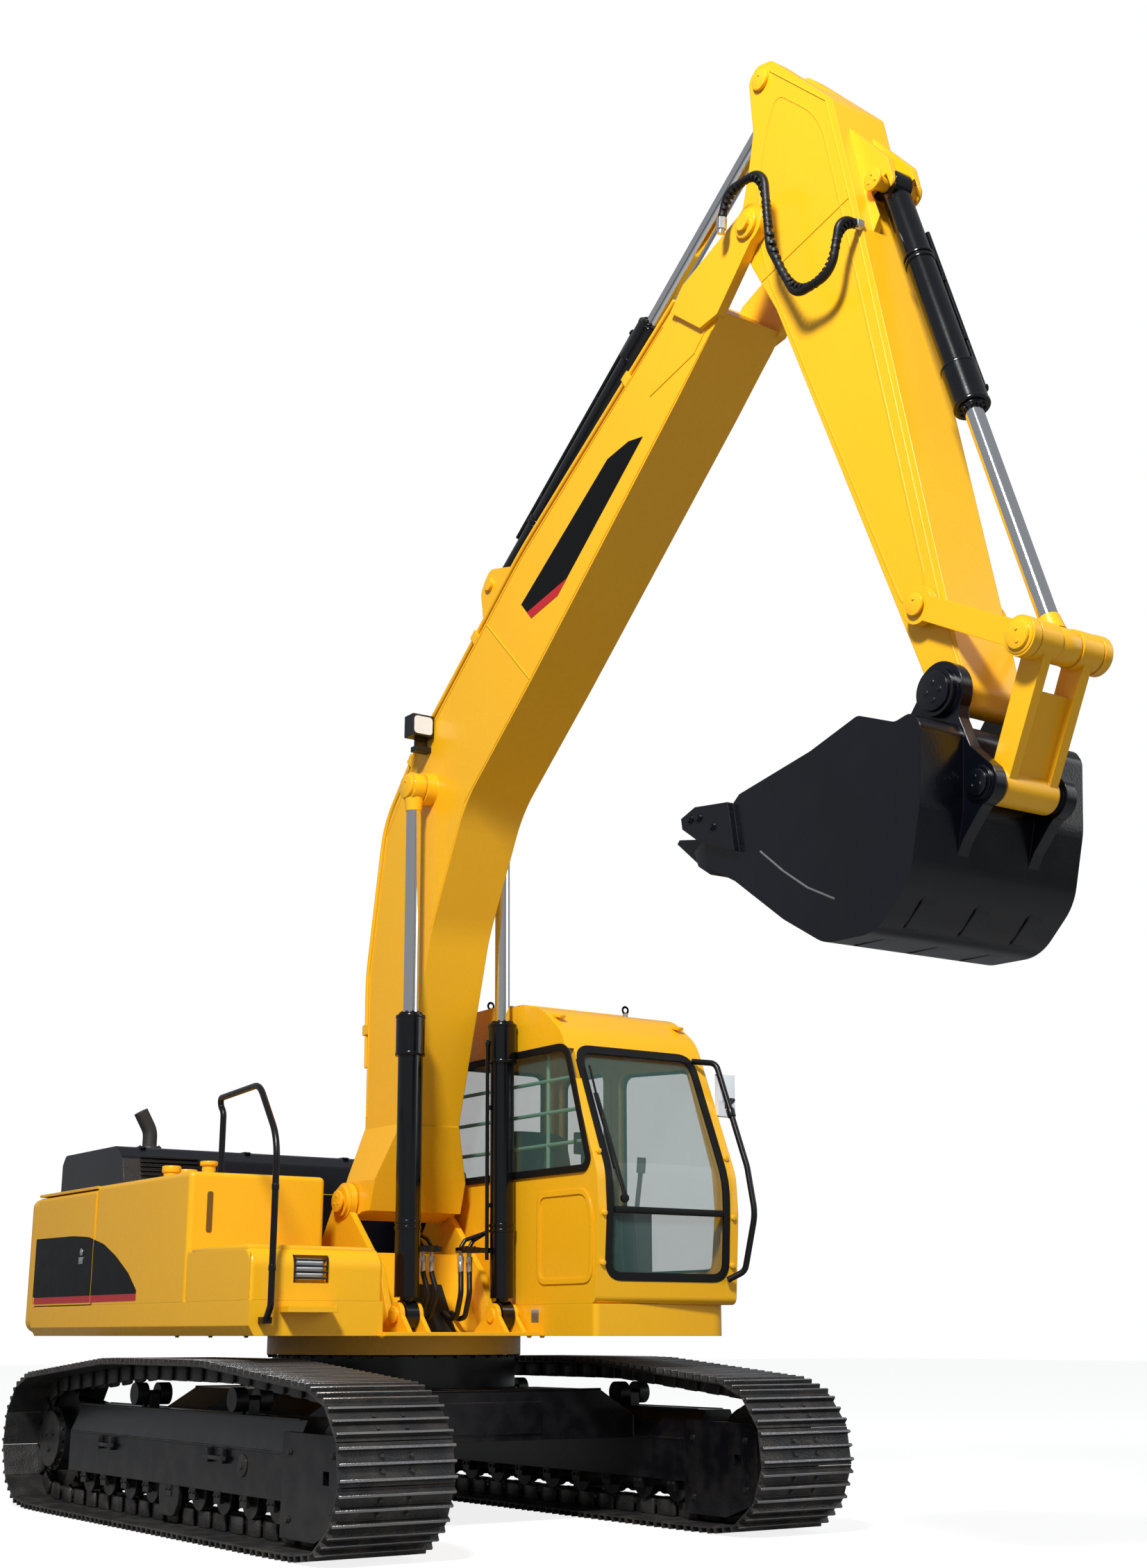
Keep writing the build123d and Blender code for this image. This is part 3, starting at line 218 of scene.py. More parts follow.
track_steel = coat("track_steel", (0.05, 0.05, 0.052), 0.4, metal=0.6, tint=0.4, grain=0.3, dust=0.35,
                   edge=0.002)
joints = chain_points()
pitch = sum((joints[i] - joints[i - 1]).length for i in range(shoe_count)) / shoe_count
shoe = bmesh.new()
half = shoe_width / 2 - 0.001
profile = [(0.004, 0), (0.012, 0)]
for share in (0.15, 0.5, 0.85):
    middle = pitch * share
    profile += [(middle - 0.011, 0), (middle - 0.006, grouser - 0.001), (middle + 0.006, grouser - 0.001),
                (middle + 0.011, 0)]
profile += [(pitch - 0.004, 0), (pitch - 0.004, -0.010), (0.004, -0.010)]
slab(shoe, profile, -half, half, "y", 0.0015, 1)
for across_shoe in (-0.075, 0.075):
    for along in (0.33, 0.67):
        bolt(shoe, (pitch * along, across_shoe, 0), (0, 0, 1), 0.011, 0.011)
for side in (-1, 1):
    brick(shoe, (0.002, side * 0.079 - 0.011, -0.094), (pitch * 0.62, side * 0.079 + 0.011, -0.009), 0.01)
    brick(shoe, (pitch * 0.38, side * 0.058 - 0.010, -0.094), (pitch - 0.002, side * 0.058 + 0.010, -0.009),
          0.01)
turned(shoe, (pitch * 0.5, -0.05, -0.055), (pitch * 0.5, 0.05, -0.055), 0.024, 16)
for face in shoe.faces:
    if min(v.co.z for v in face.verts) > grouser - 0.006:
        face.material_index = 1
worn_steel = coat("worn_steel", (0.34, 0.34, 0.35), 0.35, metal=0.85, tint=0.5, grain=0.3, dust=0.25,
                  edge=0)
shoe_mesh = bpy.data.meshes.new("shoe")
shoe.to_mesh(shoe_mesh)
shoe.free()
for side, name in ((1, "left"), (-1, "right")):
    track = bmesh.new()
    for i, joint in enumerate(joints):
        run = joints[(i + 1) % shoe_count] - joint
        run.normalize()
        out = Vector((run.y, -run.x))
        place = Matrix(((0, side, 0, side * gauge / 2), (run.x, 0, out.x, joint.x),
                        (run.y, 0, out.y, joint.y), (0, 0, 0, 1)))
        held = len(track.verts)
        track.from_mesh(shoe_mesh)
        track.verts.ensure_lookup_table()
        bmesh.ops.transform(track, matrix=place, verts=track.verts[held:])
    shoes = piece("shoes_" + name, track, "undercarriage", track_steel)
    shoes.data.materials.append(worn_steel)
    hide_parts("track_" + name)

# Track frames and running gear. The box beams, yokes and car body are welded plate in black
# paint; the final drives have bolted covers, and the rollers turn on bolted end collars.
def rounded(points, radius, steps=6):
    """A closed outline with its corners rounded."""
    out = []
    for i, p in enumerate(points):
        a, b, c = Vector(points[i - 1]), Vector(p), Vector(points[(i + 1) % len(points)])
        u, v = (a - b).normalized(), (c - b).normalized()
        gap = min(radius, (a - b).length * 0.45, (c - b).length * 0.45)
        for k in range(steps + 1):
            t = k / steps
            out.append(b + u * gap * (1 - t) ** 2 + v * gap * t ** 2)
    return out


frame_black = coat("frame_black", (0.003, 0.003, 0.005), 0.24, tint=0.4, grain=0.05, dust=0.07, edge=0.006)
gear_steel = coat("gear_steel", (0.007, 0.007, 0.009), 0.34, metal=0.1, tint=0.4, grain=0.12, dust=0.16,
                  edge=0.004)
for side, name in ((1, "left"), (-1, "right")):
    middle = side * gauge / 2
    paint(frame_black, "side_frame_" + name)
    paint(gear_steel, "idler_and_rollers_" + name, "final_drive_" + name)
    bolts = bmesh.new()
    for i in range(16):
        turn = 2 * pi * i / 16
        bolt(bolts, (middle + side * 0.108, tumbler_y + 0.168 * cos(turn), tumbler_z + 0.168 * sin(turn)),
             (side, 0, 0), 0.011, 0.012)
    for i in range(3):
        turn = 2 * pi * i / 3 + 0.5
        bolt(bolts, (middle + side * 0.138, tumbler_y + 0.06 * cos(turn), tumbler_z + 0.06 * sin(turn)),
             (side, 0, 0), 0.014, 0.01)
    for i in range(9):
        y = 0.305 * (i - 4)
        for edge in (-0.02, 0.02):
            bolt(bolts, (middle + side * 0.1455, y + edge, 0.214), (side, 0, 0), 0.009, 0.009)
            bolt(bolts, (middle - side * 0.1455, y + edge, 0.214), (-side, 0, 0), 0.009, 0.009)
    for y, z in ((-1.46, 0.16), (-1.46, 0.46), (-1.9, 0.46), (-1.9, 0.22)):
        bolt(bolts, (middle + side * 0.173, y, z), (side, 0, 0), 0.014, 0.012)
        bolt(bolts, (middle - side * 0.173, y, z), (-side, 0, 0), 0.014, 0.012)
    turned(bolts, (middle + side * 0.149, -0.9, 0.37), (middle + side * 0.156, -0.9, 0.37), 0.055, 32,
           0.003)
    turned(bolts, (middle + side * 0.155, -0.9, 0.37), (middle + side * 0.163, -0.9, 0.37), 0.02, 6)
    for x in (-0.15, 0.15):
        turned(bolts, (middle + x, -1.39, 0.449), (middle + x, 1.44, 0.449), 0.006, 8)
        turned(bolts, (middle + x * 0.567, -1.39, 0.599), (middle + x * 0.567, 1.44, 0.599), 0.006, 8)
    for y in (-0.62, 0.86):
        for lug in (-0.09, 0.09):
            brick(bolts, (middle + side * 0.164 - 0.014, y + lug - 0.012, 0.37),
                  (middle + side * 0.164 + 0.014, y + lug + 0.012, 0.44), 0.004)
        brick(bolts, (middle + side * 0.171 - 0.006, y - 0.13, 0.385),
              (middle + side * 0.171 + 0.006, y + 0.13, 0.405), 0.003)
    near, far = sorted((side * 0.118, side * 0.142))
    slab(bolts, rounded([(-0.13, 0.245), (0.13, 0.245), (0.13, 0.15), (0.075, 0.075), (-0.075, 0.075),
                         (-0.13, 0.15)], 0.03),
         middle + near, middle + far, "x", 0.003, 1)
    piece("frame_bolts_" + name, bolts, "undercarriage", gear_steel)
paint(frame_black, "car_body")

ring = bmesh.new()
for i in range(36):
    turn = 2 * pi * i / 36
    bolt(ring, (0.706 * cos(turn), 0.706 * sin(turn), 0.8845), (0, 0, -1), 0.012, 0.016)
piece("slewing_bolts", ring, "upper_structure", gear_steel)
weld = bmesh.new()
for i in range(48):
    a, b = 2 * pi * i / 48, 2 * pi * (i + 1) / 48
    turned(weld, (0.692 * cos(a), 0.692 * sin(a), 0.702), (0.692 * cos(b), 0.692 * sin(b), 0.702), 0.009, 8)
for side in (-1, 1):
    for y in (-0.885, 0.885):
        turned(weld, (side * 0.82, y, 0.7), (-side * 0.82, y, 0.7), 0.006, 8)
        turned(weld, (side * 1.044, y, 0.442), (side * 1.044, y, 0.56), 0.008, 8)
piece("car_body_welds", weld, "undercarriage", frame_black)

# Body of the revolving frame: folded and welded sheet in yellow enamel, bolted to the frame,
# with doors on hinges, tank fillers, a toolbox lid and a black hood that carries the exhaust.
yellow = coat("yellow_enamel", (0.93, 0.475, 0.01), 0.27, tint=0.035, grain=0.02, dust=0.035, edge=0.006,
              shine=0.45)
cover_black = coat("cover_black", (0.003, 0.004, 0.008), 0.26, tint=0.2, grain=0.06, dust=0.015, edge=0.008)
# Flat black used as painted shade for the inside of the frame's opening.
opening_shade_black = coat("opening_shade_black", (0.012, 0.012, 0.012), 0.7, grain=0.05, edge=0)
paint(yellow, "upper_frame", "side_decks", "toolbox", "fuel_tank", "counterweight", "bay_roof",
      "pump_door", "cooler_door")
paint(cover_black, "body_covers", "engine_hood")
bright_steel = coat("bright_steel", (0.6, 0.6, 0.6), 0.3, metal=0.9, tint=0.1, grain=0.05, edge=0.002)

body_half = 1.35
trim = bmesh.new()
turned(trim, (-1.15, 0.11, 1.9), (-1.15, 0.11, 1.925), 0.05, 32, 0.006)
for x, y, r in ((-1.18, 0.56, 0.055), (-1.0, 0.76, 0.065)):
    turned(trim, (x, y, 1.888), (x, y, 1.928), r, 24, 0.008)
piece("filler_caps", trim, "upper_structure", yellow)
panels = bmesh.new()
brick(panels, (-1.3495, -0.86, 1.40), (-0.62, -0.16, 1.4345), 0.012)
for y in (-0.9, -0.12):
    brick(panels, (-1.3515, y - 0.003, 1.17), (-1.3485, y + 0.003, 1.40), 0.001, 1)
piece("toolbox_lid", panels, "upper_structure", yellow)
gauge_glass = bmesh.new()
slab(gauge_glass, rounded([(-1.247, 1.525), (-1.213, 1.525), (-1.213, 1.745), (-1.247, 1.745)], 0.016),
     -0.1105, -0.1065, "y", 0.001, 1)
piece("sight_gauge", gauge_glass, "upper_structure",
      coat("gauge_amber", (0.16, 0.08, 0.01), 0.15, grain=0.01, edge=0))

for side, near, body, lock in ((-1, 1.45, "pump_door_body", "door_lock_right"),
                               (1, 1.31, "cooler_door_body", "door_lock_left")):
    door = bmesh.new()
    x = side * body_half
    turned(door, (x, near, 1.47), (x + side * 0.005, near, 1.47), 0.022, 24, 0.002)
    turned(door, (x + side * 0.004, near, 1.47), (x + side * 0.007, near, 1.47), 0.009, 12)
    under, over = (0.002, 0.006) if side > 0 else (0.006, 0.002)
    brick(door, (x - under, near - 0.03, 1.40), (x + over, near + 0.03, 1.44), 0.0015)
    piece(lock, door, body, bright_steel)


def louvres(name, rows, low, rise, tip_x, start, end, body, material):
    """A field of pressed louvres on the left side, between two places along it."""
    slats = bmesh.new()
    for row in range(rows):
        z = low + row * rise
        slab(slats, [(1.349, z), (tip_x, z - 0.004), (tip_x, z + 0.004), (1.349, z + 0.016)], start, end,
             "y", 0.001, 1)
    piece(name, slats, body, material)


louvres("cooler_louvres", 9, 1.3, 0.045, 1.358, 1.55, 2.1, "cooler_door_body", yellow)
louvres("housing_louvres", 7, 1.36, 0.05, 1.357, 0.5, 0.95, "upper_structure", cover_black)

hood = bmesh.new()
for x in (-1.05, -0.35, 0.35, 1.05):
    slab(hood, [(1.30, 2.095), (1.33, 2.106), (2.16, 2.106), (2.19, 2.09)], x - 0.02, x + 0.02, "x", 0.004)
for x in (-0.6, 0.6):
    brick(hood, (x - 0.05, 1.20, 1.87), (x + 0.05, 1.225, 1.93), 0.006)
for row in range(6):
    back, up = row * 0.009, row * 0.027
    slab(hood, [(1.189 + back, 1.89 + up), (1.181 + back, 1.895 + up), (1.185 + back, 1.905 + up),
                (1.196 + back, 1.91 + up)], -1.1, -0.72, "x", 0.0015, 1)
piece("hood_ribs", hood, "hood_body", cover_black)
pipe = bmesh.new()
turned(pipe, (-0.88, 1.64, 2.1), (-0.88, 1.64, 2.135), 0.075, 32, 0.006)
for i in range(8):
    bolt(pipe, (-0.88 + 0.063 * cos(i * pi / 4), 1.64 + 0.063 * sin(i * pi / 4), 2.135), (0, 0, 1), 0.006,
         0.006)
exhaust_metal = coat("exhaust_metal", (0.05, 0.047, 0.045), 0.5, metal=0.5, tint=0.4, grain=0.15)
piece("exhaust_flange", pipe, "hood_body", exhaust_metal)
paint(exhaust_metal, "exhaust")
paint(coat("engine_enamel", (0.16, 0.165, 0.17), 0.45, tint=0.2, grain=0.1), "engine_block")

# Tail weight: one iron casting bolted to the frame, with two lifting eyes and a ridge on its
# back. The doors and the tank's side carry plain black film over a red stripe.
tail = bmesh.new()
for x in (-0.75, 0.75):
    slab(tail, [(2.36, 1.828), (2.40, 1.875), (2.46, 1.875), (2.50, 1.828)], x - 0.02, x + 0.02, "x", 0.006)
turned(tail, (-0.2, 2.745, 1.35), (0.2, 2.745, 1.35), 0.004, 12)
piece("lifting_eyes", tail, "upper_structure", yellow)
film_black = coat("film_black", (0.002, 0.002, 0.003), 0.35, tint=0.1, grain=0.01, edge=0, shine=0.15)
film_red = coat("film_red", (0.5, 0.012, 0.02), 0.3, tint=0.05, grain=0.01, edge=0)


def film_top(y):
    """Height of the black film's upper edge at a place along the panel."""
    line = [(0.56, 1.225), (0.7, 1.33), (0.9, 1.43), (1.1, 1.505), (1.35, 1.555), (1.6, 1.57),
            (2.25, 1.575)]
    for (y0, z0), (y1, z1) in zip(line, line[1:]):
        if y <= y1:
            return z0 + (z1 - z0) * (y - y0) / (y1 - y0)
    return line[-1][1]


def swoosh(side, start, end, body, name):
    """A strip of film on a side panel: the black field tapers forwards over a red stripe."""
    x = side * 1.3506
    steps = [start + (end - start) * i / 16 for i in range(17)]
    field = bmesh.new()
    slab(field, [(end, 1.214), (start, 1.214)] + [(y, film_top(y)) for y in steps], x, x + side * 0.0008,
         "x")
    piece(name, field, body, film_black)
    stripe = bmesh.new()
    slab(stripe, [(start, 1.175), (end, 1.175), (end, 1.213), (start, 1.213)], x, x + side * 0.0008, "x")
    piece(name + "_stripe", stripe, body, film_red)


swoosh(-1, 1.27, 2.249, "pump_door_body", "film_right_door")
swoosh(-1, 0.57, 1.262, "upper_structure", "film_tank")
swoosh(1, 1.13, 2.249, "cooler_door_body", "film_left_door")

# Lamp of the toolbox: a lens let into its front behind a grille of black steel bars. The step
# under it has welded treads in yellow enamel.
lamp = bmesh.new()
for z in (1.27, 1.30, 1.33, 1.36):
    brick(lamp, (-1.105, -0.905, z - 0.005), (-0.91, -0.897, z + 0.005), 0.002)
for x in (-1.105, -0.918):
    brick(lamp, (x, -0.906, 1.25), (x + 0.008, -0.896, 1.38), 0.002)
piece("lamp_grille", lamp, "upper_structure", cover_black)
lens = bmesh.new()
brick(lens, (-1.09, -0.885, 1.262), (-0.925, -0.862, 1.368), 0.012, 3)
lens_glass = coat("lens_glass", (0.7, 0.74, 0.76), 0.12, tint=0.15, grain=0.1, edge=0)
piece("toolbox_lamp", lens, "upper_structure", lens_glass)
tread = bmesh.new()
for i in range(9):
    brick(tread, (-1.17 + i * 0.032, -1.004, 1.1285), (-1.158 + i * 0.032, -0.92, 1.1335), 0.0015)
piece("step_treads", tread, "upper_structure", yellow)

# Cab: pressed steel frame in yellow enamel. Its panes sit in black rubber seals, with a wiper
# on the front pane, guard bars inside the right window and lifting eyes on the roof.
paint(yellow, "cab_shell", "cab_door")
seal_rubber = coat("seal_rubber", (0.004, 0.004, 0.005), 0.55, grain=0.05, edge=0.002, shine=0.25)


def pane_glass():
    """Thin tinted safety glass, a little wavy."""
    material = bpy.data.materials.new("cab_pane")
    material.use_nodes = True
    nodes, links = material.node_tree.nodes, material.node_tree.links
    shader = nodes["Principled BSDF"]
    shader.inputs["Roughness"].default_value = 0.03
    shader.inputs["Base Color"].default_value = (0.1, 0.2, 0.18, 1)
    shader.inputs["Alpha"].default_value = 0.24
    shader.inputs["IOR"].default_value = 1.5
    place = nodes.new("ShaderNodeTexCoord")
    film = nodes.new("ShaderNodeTexNoise")
    film.inputs["Scale"].default_value = 3
    links.new(place.outputs["Object"], film.inputs["Vector"])
    bump = nodes.new("ShaderNodeBump")
    bump.inputs["Strength"].default_value = 0.02
    links.new(film.outputs["Fac"], bump.inputs["Height"])
    links.new(bump.outputs[0], shader.inputs["Normal"])
    return material


paint(pane_glass(), "cab_glass", "door_glass")


def gasket(shape, outline, place, width, high):
    """A flat rubber strip that follows a closed outline."""
    middle = sum(outline, Vector((0, 0))) / len(outline)
    rings = []
    for grow in (-width / 2, width / 2):
        ring_verts = []
        for i, p in enumerate(outline):
            way = (outline[(i + 1) % len(outline)] - outline[i - 1]).normalized()
            side = Vector((way.y, -way.x))
            if side.dot(p - middle) < 0:
                side = -side
            ring_verts.append(shape.verts.new(place(p + side * grow)))
        rings.append([shape.edges.new((ring_verts[i - 1], ring_verts[i])) for i in range(len(ring_verts))])
    faces = bmesh.ops.bridge_loops(shape, edges=rings[0] + rings[1])["faces"]
    bmesh.ops.recalc_face_normals(shape, faces=faces)
    bmesh.ops.solidify(shape, geom=faces, thickness=high)


def cab_front(z):
    """y of the cab's front face at a height."""
    table = [(1.15, -1.446), (1.64, -1.4765), (1.75, -1.4755), (1.85, -1.462), (2.0, -1.400),
             (2.64, -1.120)]
    for (z0, y0), (z1, y1) in zip(table, table[1:]):
        if z <= z1:
            return y0 + (y1 - y0) * (z - z0) / (z1 - z0)
    return table[-1][1]


seals = bmesh.new()
front = rounded([(0.47, 1.29), (1.27, 1.29), (1.27, 2.54), (0.47, 2.54)], 0.09, 8)
fine_front = []
for a, b in zip(front, front[1:] + front[:1]):
    steps = max(1, int((b - a).length / 0.06))
    fine_front += [a.lerp(b, i / steps) for i in range(steps)]
gasket(seals, fine_front, lambda p: (p.x, cab_front(p.y) - 0.004, p.y), 0.045, 0.012)
right = rounded([(-1.395, 1.905), (-1.18, 2.545), (0.19, 2.545), (0.19, 1.862), (-1.36, 1.862)], 0.08)
gasket(seals, right, lambda p: (0.392, p.x, p.y), 0.04, 0.01)
rear = rounded([(-0.25, 1.9), (-0.25, 2.56), (0.24, 2.56), (0.24, 1.9)], 0.08)
gasket(seals, rear, lambda p: (1.352, p.x, p.y), 0.035, 0.01)
back = rounded([(0.47, 1.85), (1.23, 1.85), (1.23, 2.6), (0.47, 2.6)], 0.08)
gasket(seals, back, lambda p: (p.x, 0.332, p.y), 0.035, 0.01)
brick(seals, (0.5, -1.4905, 1.622), (1.24, -1.46, 1.658), 0.008)
piece("window_seals", seals, "upper_structure", seal_rubber)
door_seal = bmesh.new()
pane_line = rounded([(-1.29, 1.33), (-1.33, 1.66), (-1.31, 1.88), (-1.08, 2.49), (-0.4, 2.53),
                     (-0.4, 1.33)], 0.1)
gasket(door_seal, pane_line, lambda p: (1.352, p.x, p.y), 0.035, 0.008)
brick(door_seal, (1.3495, -0.47, 1.50), (1.362, -0.42, 1.62), 0.005)
turned(door_seal, (1.36, -0.445, 1.6), (1.38, -0.445, 1.6), 0.012, 16)
brick(door_seal, (1.374, -0.56, 1.59), (1.386, -0.43, 1.612), 0.004)
piece("door_seal", door_seal, "cab_door_body", seal_rubber)

pressed = bmesh.new()
field = rounded([(-0.90, 1.27), (-1.41, 1.27), (-1.415, 1.62), (-1.36, 1.74), (-0.90, 1.74)], 0.07)
gasket(pressed, field, lambda p: (0.3935, p.x, p.y), 0.03, 0.006)
for x in (0.45, 1.29):
    slab(pressed, [(-1.06, 2.74), (-0.5, 2.866), (0.2, 2.864), (0.2, 2.845), (-0.5, 2.846), (-1.05, 2.72)],
         x - 0.02, x + 0.02, "x", 0.006)
brick(pressed, (0.50, -0.55, 2.857), (1.24, -0.05, 2.872), 0.005)
for z in (1.36, 1.62, 1.95):
    turned(pressed, (0.43, cab_front(z) - 0.018, z), (0.43, cab_front(z) + 0.01, z), 0.016, 20, 0.004)
    turned(pressed, (1.31, cab_front(z) - 0.018, z), (1.31, cab_front(z) + 0.01, z), 0.016, 20, 0.004)
piece("cab_pressings", pressed, "upper_structure", yellow)
eyes = bmesh.new()
for x, y, z in ((0.5, -0.2, 2.858), (1.2, -0.62, 2.84)):
    turned(eyes, (x, y, z), (x, y, z + 0.03), 0.016, 6)
    made = bmesh.ops.create_circle(eyes, segments=10, radius=0.007,
                                   matrix=Matrix.Translation((x + 0.02, y,
                                   z + 0.05)) @ Matrix.Rotation(pi / 2, 4, "X"))["verts"]
    loop = list({e for v in made for e in v.link_edges})
    bmesh.ops.spin(eyes, geom=made + loop, cent=(x, y, z + 0.05), axis=(0, 1, 0), angle=2 * pi, steps=20,
                   use_merge=True)
piece("roof_eyes", eyes, "upper_structure", bright_steel)

lining = bmesh.new()
brick(lining, (0.47, 0.262, 1.21), (1.28, 0.272, 1.835), 0.004)
brick(lining, (0.4505, -1.2, 1.21), (0.458, 0.25, 1.84), 0.003)
brick(lining, (0.47, -0.75, 2.765), (1.28, 0.2, 2.775), 0.004)
brick(lining, (0.455, -1.30, 1.2055), (1.285, 0.25, 1.214), 0.003)
lining_green = coat("lining_green", (0.42, 0.5, 0.4), 0.7, tint=0.1, grain=0.15, edge=0)
piece("cab_lining", lining, "upper_structure", lining_green)
bars = bmesh.new()
guard_green = coat("guard_green", (0.25, 0.5, 0.33), 0.4, grain=0.03)
for z in (2.02, 2.2, 2.38):
    turned(bars, (0.455, -1.28 + (z - 2.02) * 0.36, z), (0.455, 0.17, z), 0.011, 12)
turned(bars, (0.455, -0.9, 1.88), (0.455, -0.9, 2.53), 0.011, 12)
piece("window_guard", bars, "upper_structure", guard_green)

wiper = bmesh.new()
turned(wiper, (0.56, -1.478, 1.70), (0.56, -1.50, 1.70), 0.024, 20, 0.004)
turned(wiper, (0.56, -1.492, 1.70), (0.505, -1.285, 2.28), 0.007, 10)
turned(wiper, (0.575, -1.492, 1.70), (0.525, -1.285, 2.28), 0.005, 10)
slab(wiper, [(-1.475, 1.86), (-1.24, 2.44), (-1.232, 2.436), (-1.467, 1.855)], 0.500, 0.510, "x", 0.001, 1)
piece("front_wiper", wiper, "upper_structure", seal_rubber)

# Seat of padded cloth on a suspension box that is bolted to the cab's floor, with consoles of
# moulded plastic beside it and a monitor on a stalk.
cloth = coat("seat_cloth", (0.05, 0.05, 0.055), 0.9, tint=0.2, grain=0.5, edge=0)
for name, low, high, lean in (("seat_cushion", (0.6, -0.76, 1.42), (1.1, -0.22, 1.55), 0),
                              ("seat_back", (0.615, -0.33, 1.56), (1.085, -0.2, 2.18), 0.24)):
    cushion = bmesh.new()
    brick(cushion, low, high, 0)
    bmesh.ops.subdivide_edges(cushion, edges=cushion.edges, cuts=3, use_grid_fill=True)
    bmesh.ops.smooth_vert(cushion, verts=cushion.verts, factor=0.35, use_axis_x=True, use_axis_y=True,
                          use_axis_z=True)
    if lean:
        for v in cushion.verts:
            v.co.y += (v.co.z - low[2]) * lean
    made = piece(name, cushion, "upper_structure", cloth, 180)
    rounder = made.modifiers.new("Rounded", "SUBSURF")
    rounder.levels = rounder.render_levels = 2
base = bmesh.new()
brick(base, (0.7, -0.62, 1.2055), (1.0, -0.26, 1.42), 0.02)
for i in range(5):
    brick(base, (0.69, -0.63, 1.24 + i * 0.033), (1.01, -0.25, 1.255 + i * 0.033), 0.007)
piece("seat_suspension", base, "upper_structure", seal_rubber)
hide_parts("operator_seat")
paint(coat("console_moulding", (0.09, 0.09, 0.1), 0.6, grain=0.3, edge=0.006), "controls")
screen = bmesh.new()
brick(screen, (0.44, -1.2, 1.95), (0.6, -1.17, 2.07), 0.008)
turned(screen, (0.5, -1.18, 1.86), (0.5, -1.18, 1.96), 0.012, 12)
piece("monitor", screen, "upper_structure", seal_rubber)

# Handrails of bent tube in black enamel, held by collars and bolted feet. The mirror is a
# chromed plate in a pale plastic shell on the left rail.
rail_black = coat("rail_black", (0.004, 0.004, 0.006), 0.3, grain=0.02, edge=0.002, shine=0.35)
paint(rail_black, "handrail_right", "handrail_left")
clamps = bmesh.new()
for z in (1.3, 1.7):
    turned(clamps, (-1.275, -1.0, z), (-1.275, -1.0, z + 0.03), 0.0195, 20, 0.002)
brick(clamps, (-1.18, -0.075, 1.8505), (-1.12, -0.028, 1.858), 0.003)
for x in (-1.17, -1.13):
    bolt(clamps, (x, -0.05, 1.858), (0, 0, 1), 0.006, 0.006)
turned(clamps, (1.352, -1.440, 2.185), (1.349, -1.425, 2.23), 0.024, 16, 0.002)
brick(clamps, (1.342, -1.415, 2.235), (1.36, -1.385, 2.265), 0.004)
piece("rail_clamps", clamps, "upper_structure", rail_black)
shell = bmesh.new()
slab(shell, rounded([(1.3485, 2.1985), (1.4715, 2.1985), (1.4715, 2.4415), (1.3485, 2.4415)], 0.004),
     -1.3235, -1.2915, "y", 0.003, 2)
pale_plastic = coat("pale_plastic", (0.72, 0.76, 0.8), 0.22, tint=0.04, grain=0.02, edge=0.004)
piece("mirror_shell", shell, "upper_structure", pale_plastic)
reflector = bmesh.new()
slab(reflector, rounded([(1.36, 2.21), (1.46, 2.21), (1.46, 2.43), (1.36, 2.43)], 0.03), -1.2923, -1.2905,
     "y")
chrome = coat("chrome_plate", (0.82, 0.84, 0.86), 0.08, metal=1.0, tint=0.02, grain=0.004, edge=0.001)
piece("mirror_face", reflector, "upper_structure", chrome)

# Boom: a box of thick plate welded along its edges, with forged bosses at its pins, flared
# foot, lines in clips along its back and blank film patches on both sides.
paint(yellow, "boom", "boom_lines")
foot, tip, low_pin = Vector((0.020, 1.729)), Vector((-3.661, 6.251)), Vector((-4.803, 3.513))
boom_base, boom_eye = (-0.665, 1.094), (-0.620, 4.060)


def beside(start, end, along, off):
    """The (y, z) at a place along and to the side of the line between two pins, in metres."""
    run = (end - start).normalized()
    spot = start + run * along + Vector((run.y, -run.x)) * off
    return (spot.x, spot.y)


def pin_cap(shape, x, spot, side, radius, high, holes=3):
    """The cap of a pin with its bolts, standing off a boss."""
    y, z = spot
    turned(shape, (x, y, z), (x + side * high, y, z), radius, 36, 0.004)
    for i in range(holes):
        turn = 2 * pi * i / holes + pi / 2
        spot = (x + side * (high - 0.001), y + radius * 0.45 * cos(turn), z + radius * 0.45 * sin(turn))
        turned(shape, spot, (spot[0] + side * 0.004, spot[1], spot[2]), radius * 0.13, 12)


boom_trim = bmesh.new()
for side in (-1, 1):
    pin_cap(boom_trim, side * 0.2225, tip, side, 0.075, 0.02)
    patch = [beside(foot, tip, a, h) for a, h in ((5.15, 0.06), (5.75, -0.03), (5.83, 0.05), (5.80, 0.14),
                                                  (5.2, 0.33), (4.85, 0.30))]
    slab(boom_trim, patch, side * 0.1945, side * 0.199, "x", 0.0015, 1)
    edge = 0.1955 * side
    for line in ([(0.36, 0.33), (1.0, 0.86), (1.76, 1.265), (2.33, 1.258), (3.71, 0.94), (5.2, 0.43)],
                 [(0.35, 0.0), (1.59, 0.425), (2.33, 0.578), (3.2, 0.395), (4.9, 0.068), (5.3, -0.01)]):
        for a, b in zip(line, line[1:]):
            p, q = beside(foot, tip, *a), beside(foot, tip, *b)
            if p[1] > 2.16:
                turned(boom_trim, (edge, *p), (edge, *q), 0.004, 8)
    turned(boom_trim, (edge, *beside(foot, tip, 3.184, 0.399)), (edge, *beside(foot, tip, 3.25, 1.04)),
           0.0045, 8)
turned(boom_trim, (-0.195, *beside(foot, tip, 3.184, 0.3975)), (0.195, *beside(foot, tip, 3.184, 0.3975)),
       0.006, 8)
piece("boom_welds", boom_trim, "boom_body", yellow)
hexagon = [(3.487, 0.764), (3.464, 0.614), (3.668, 0.444), (4.656, 0.226), (4.593, 0.339), (4.45, 0.47)]
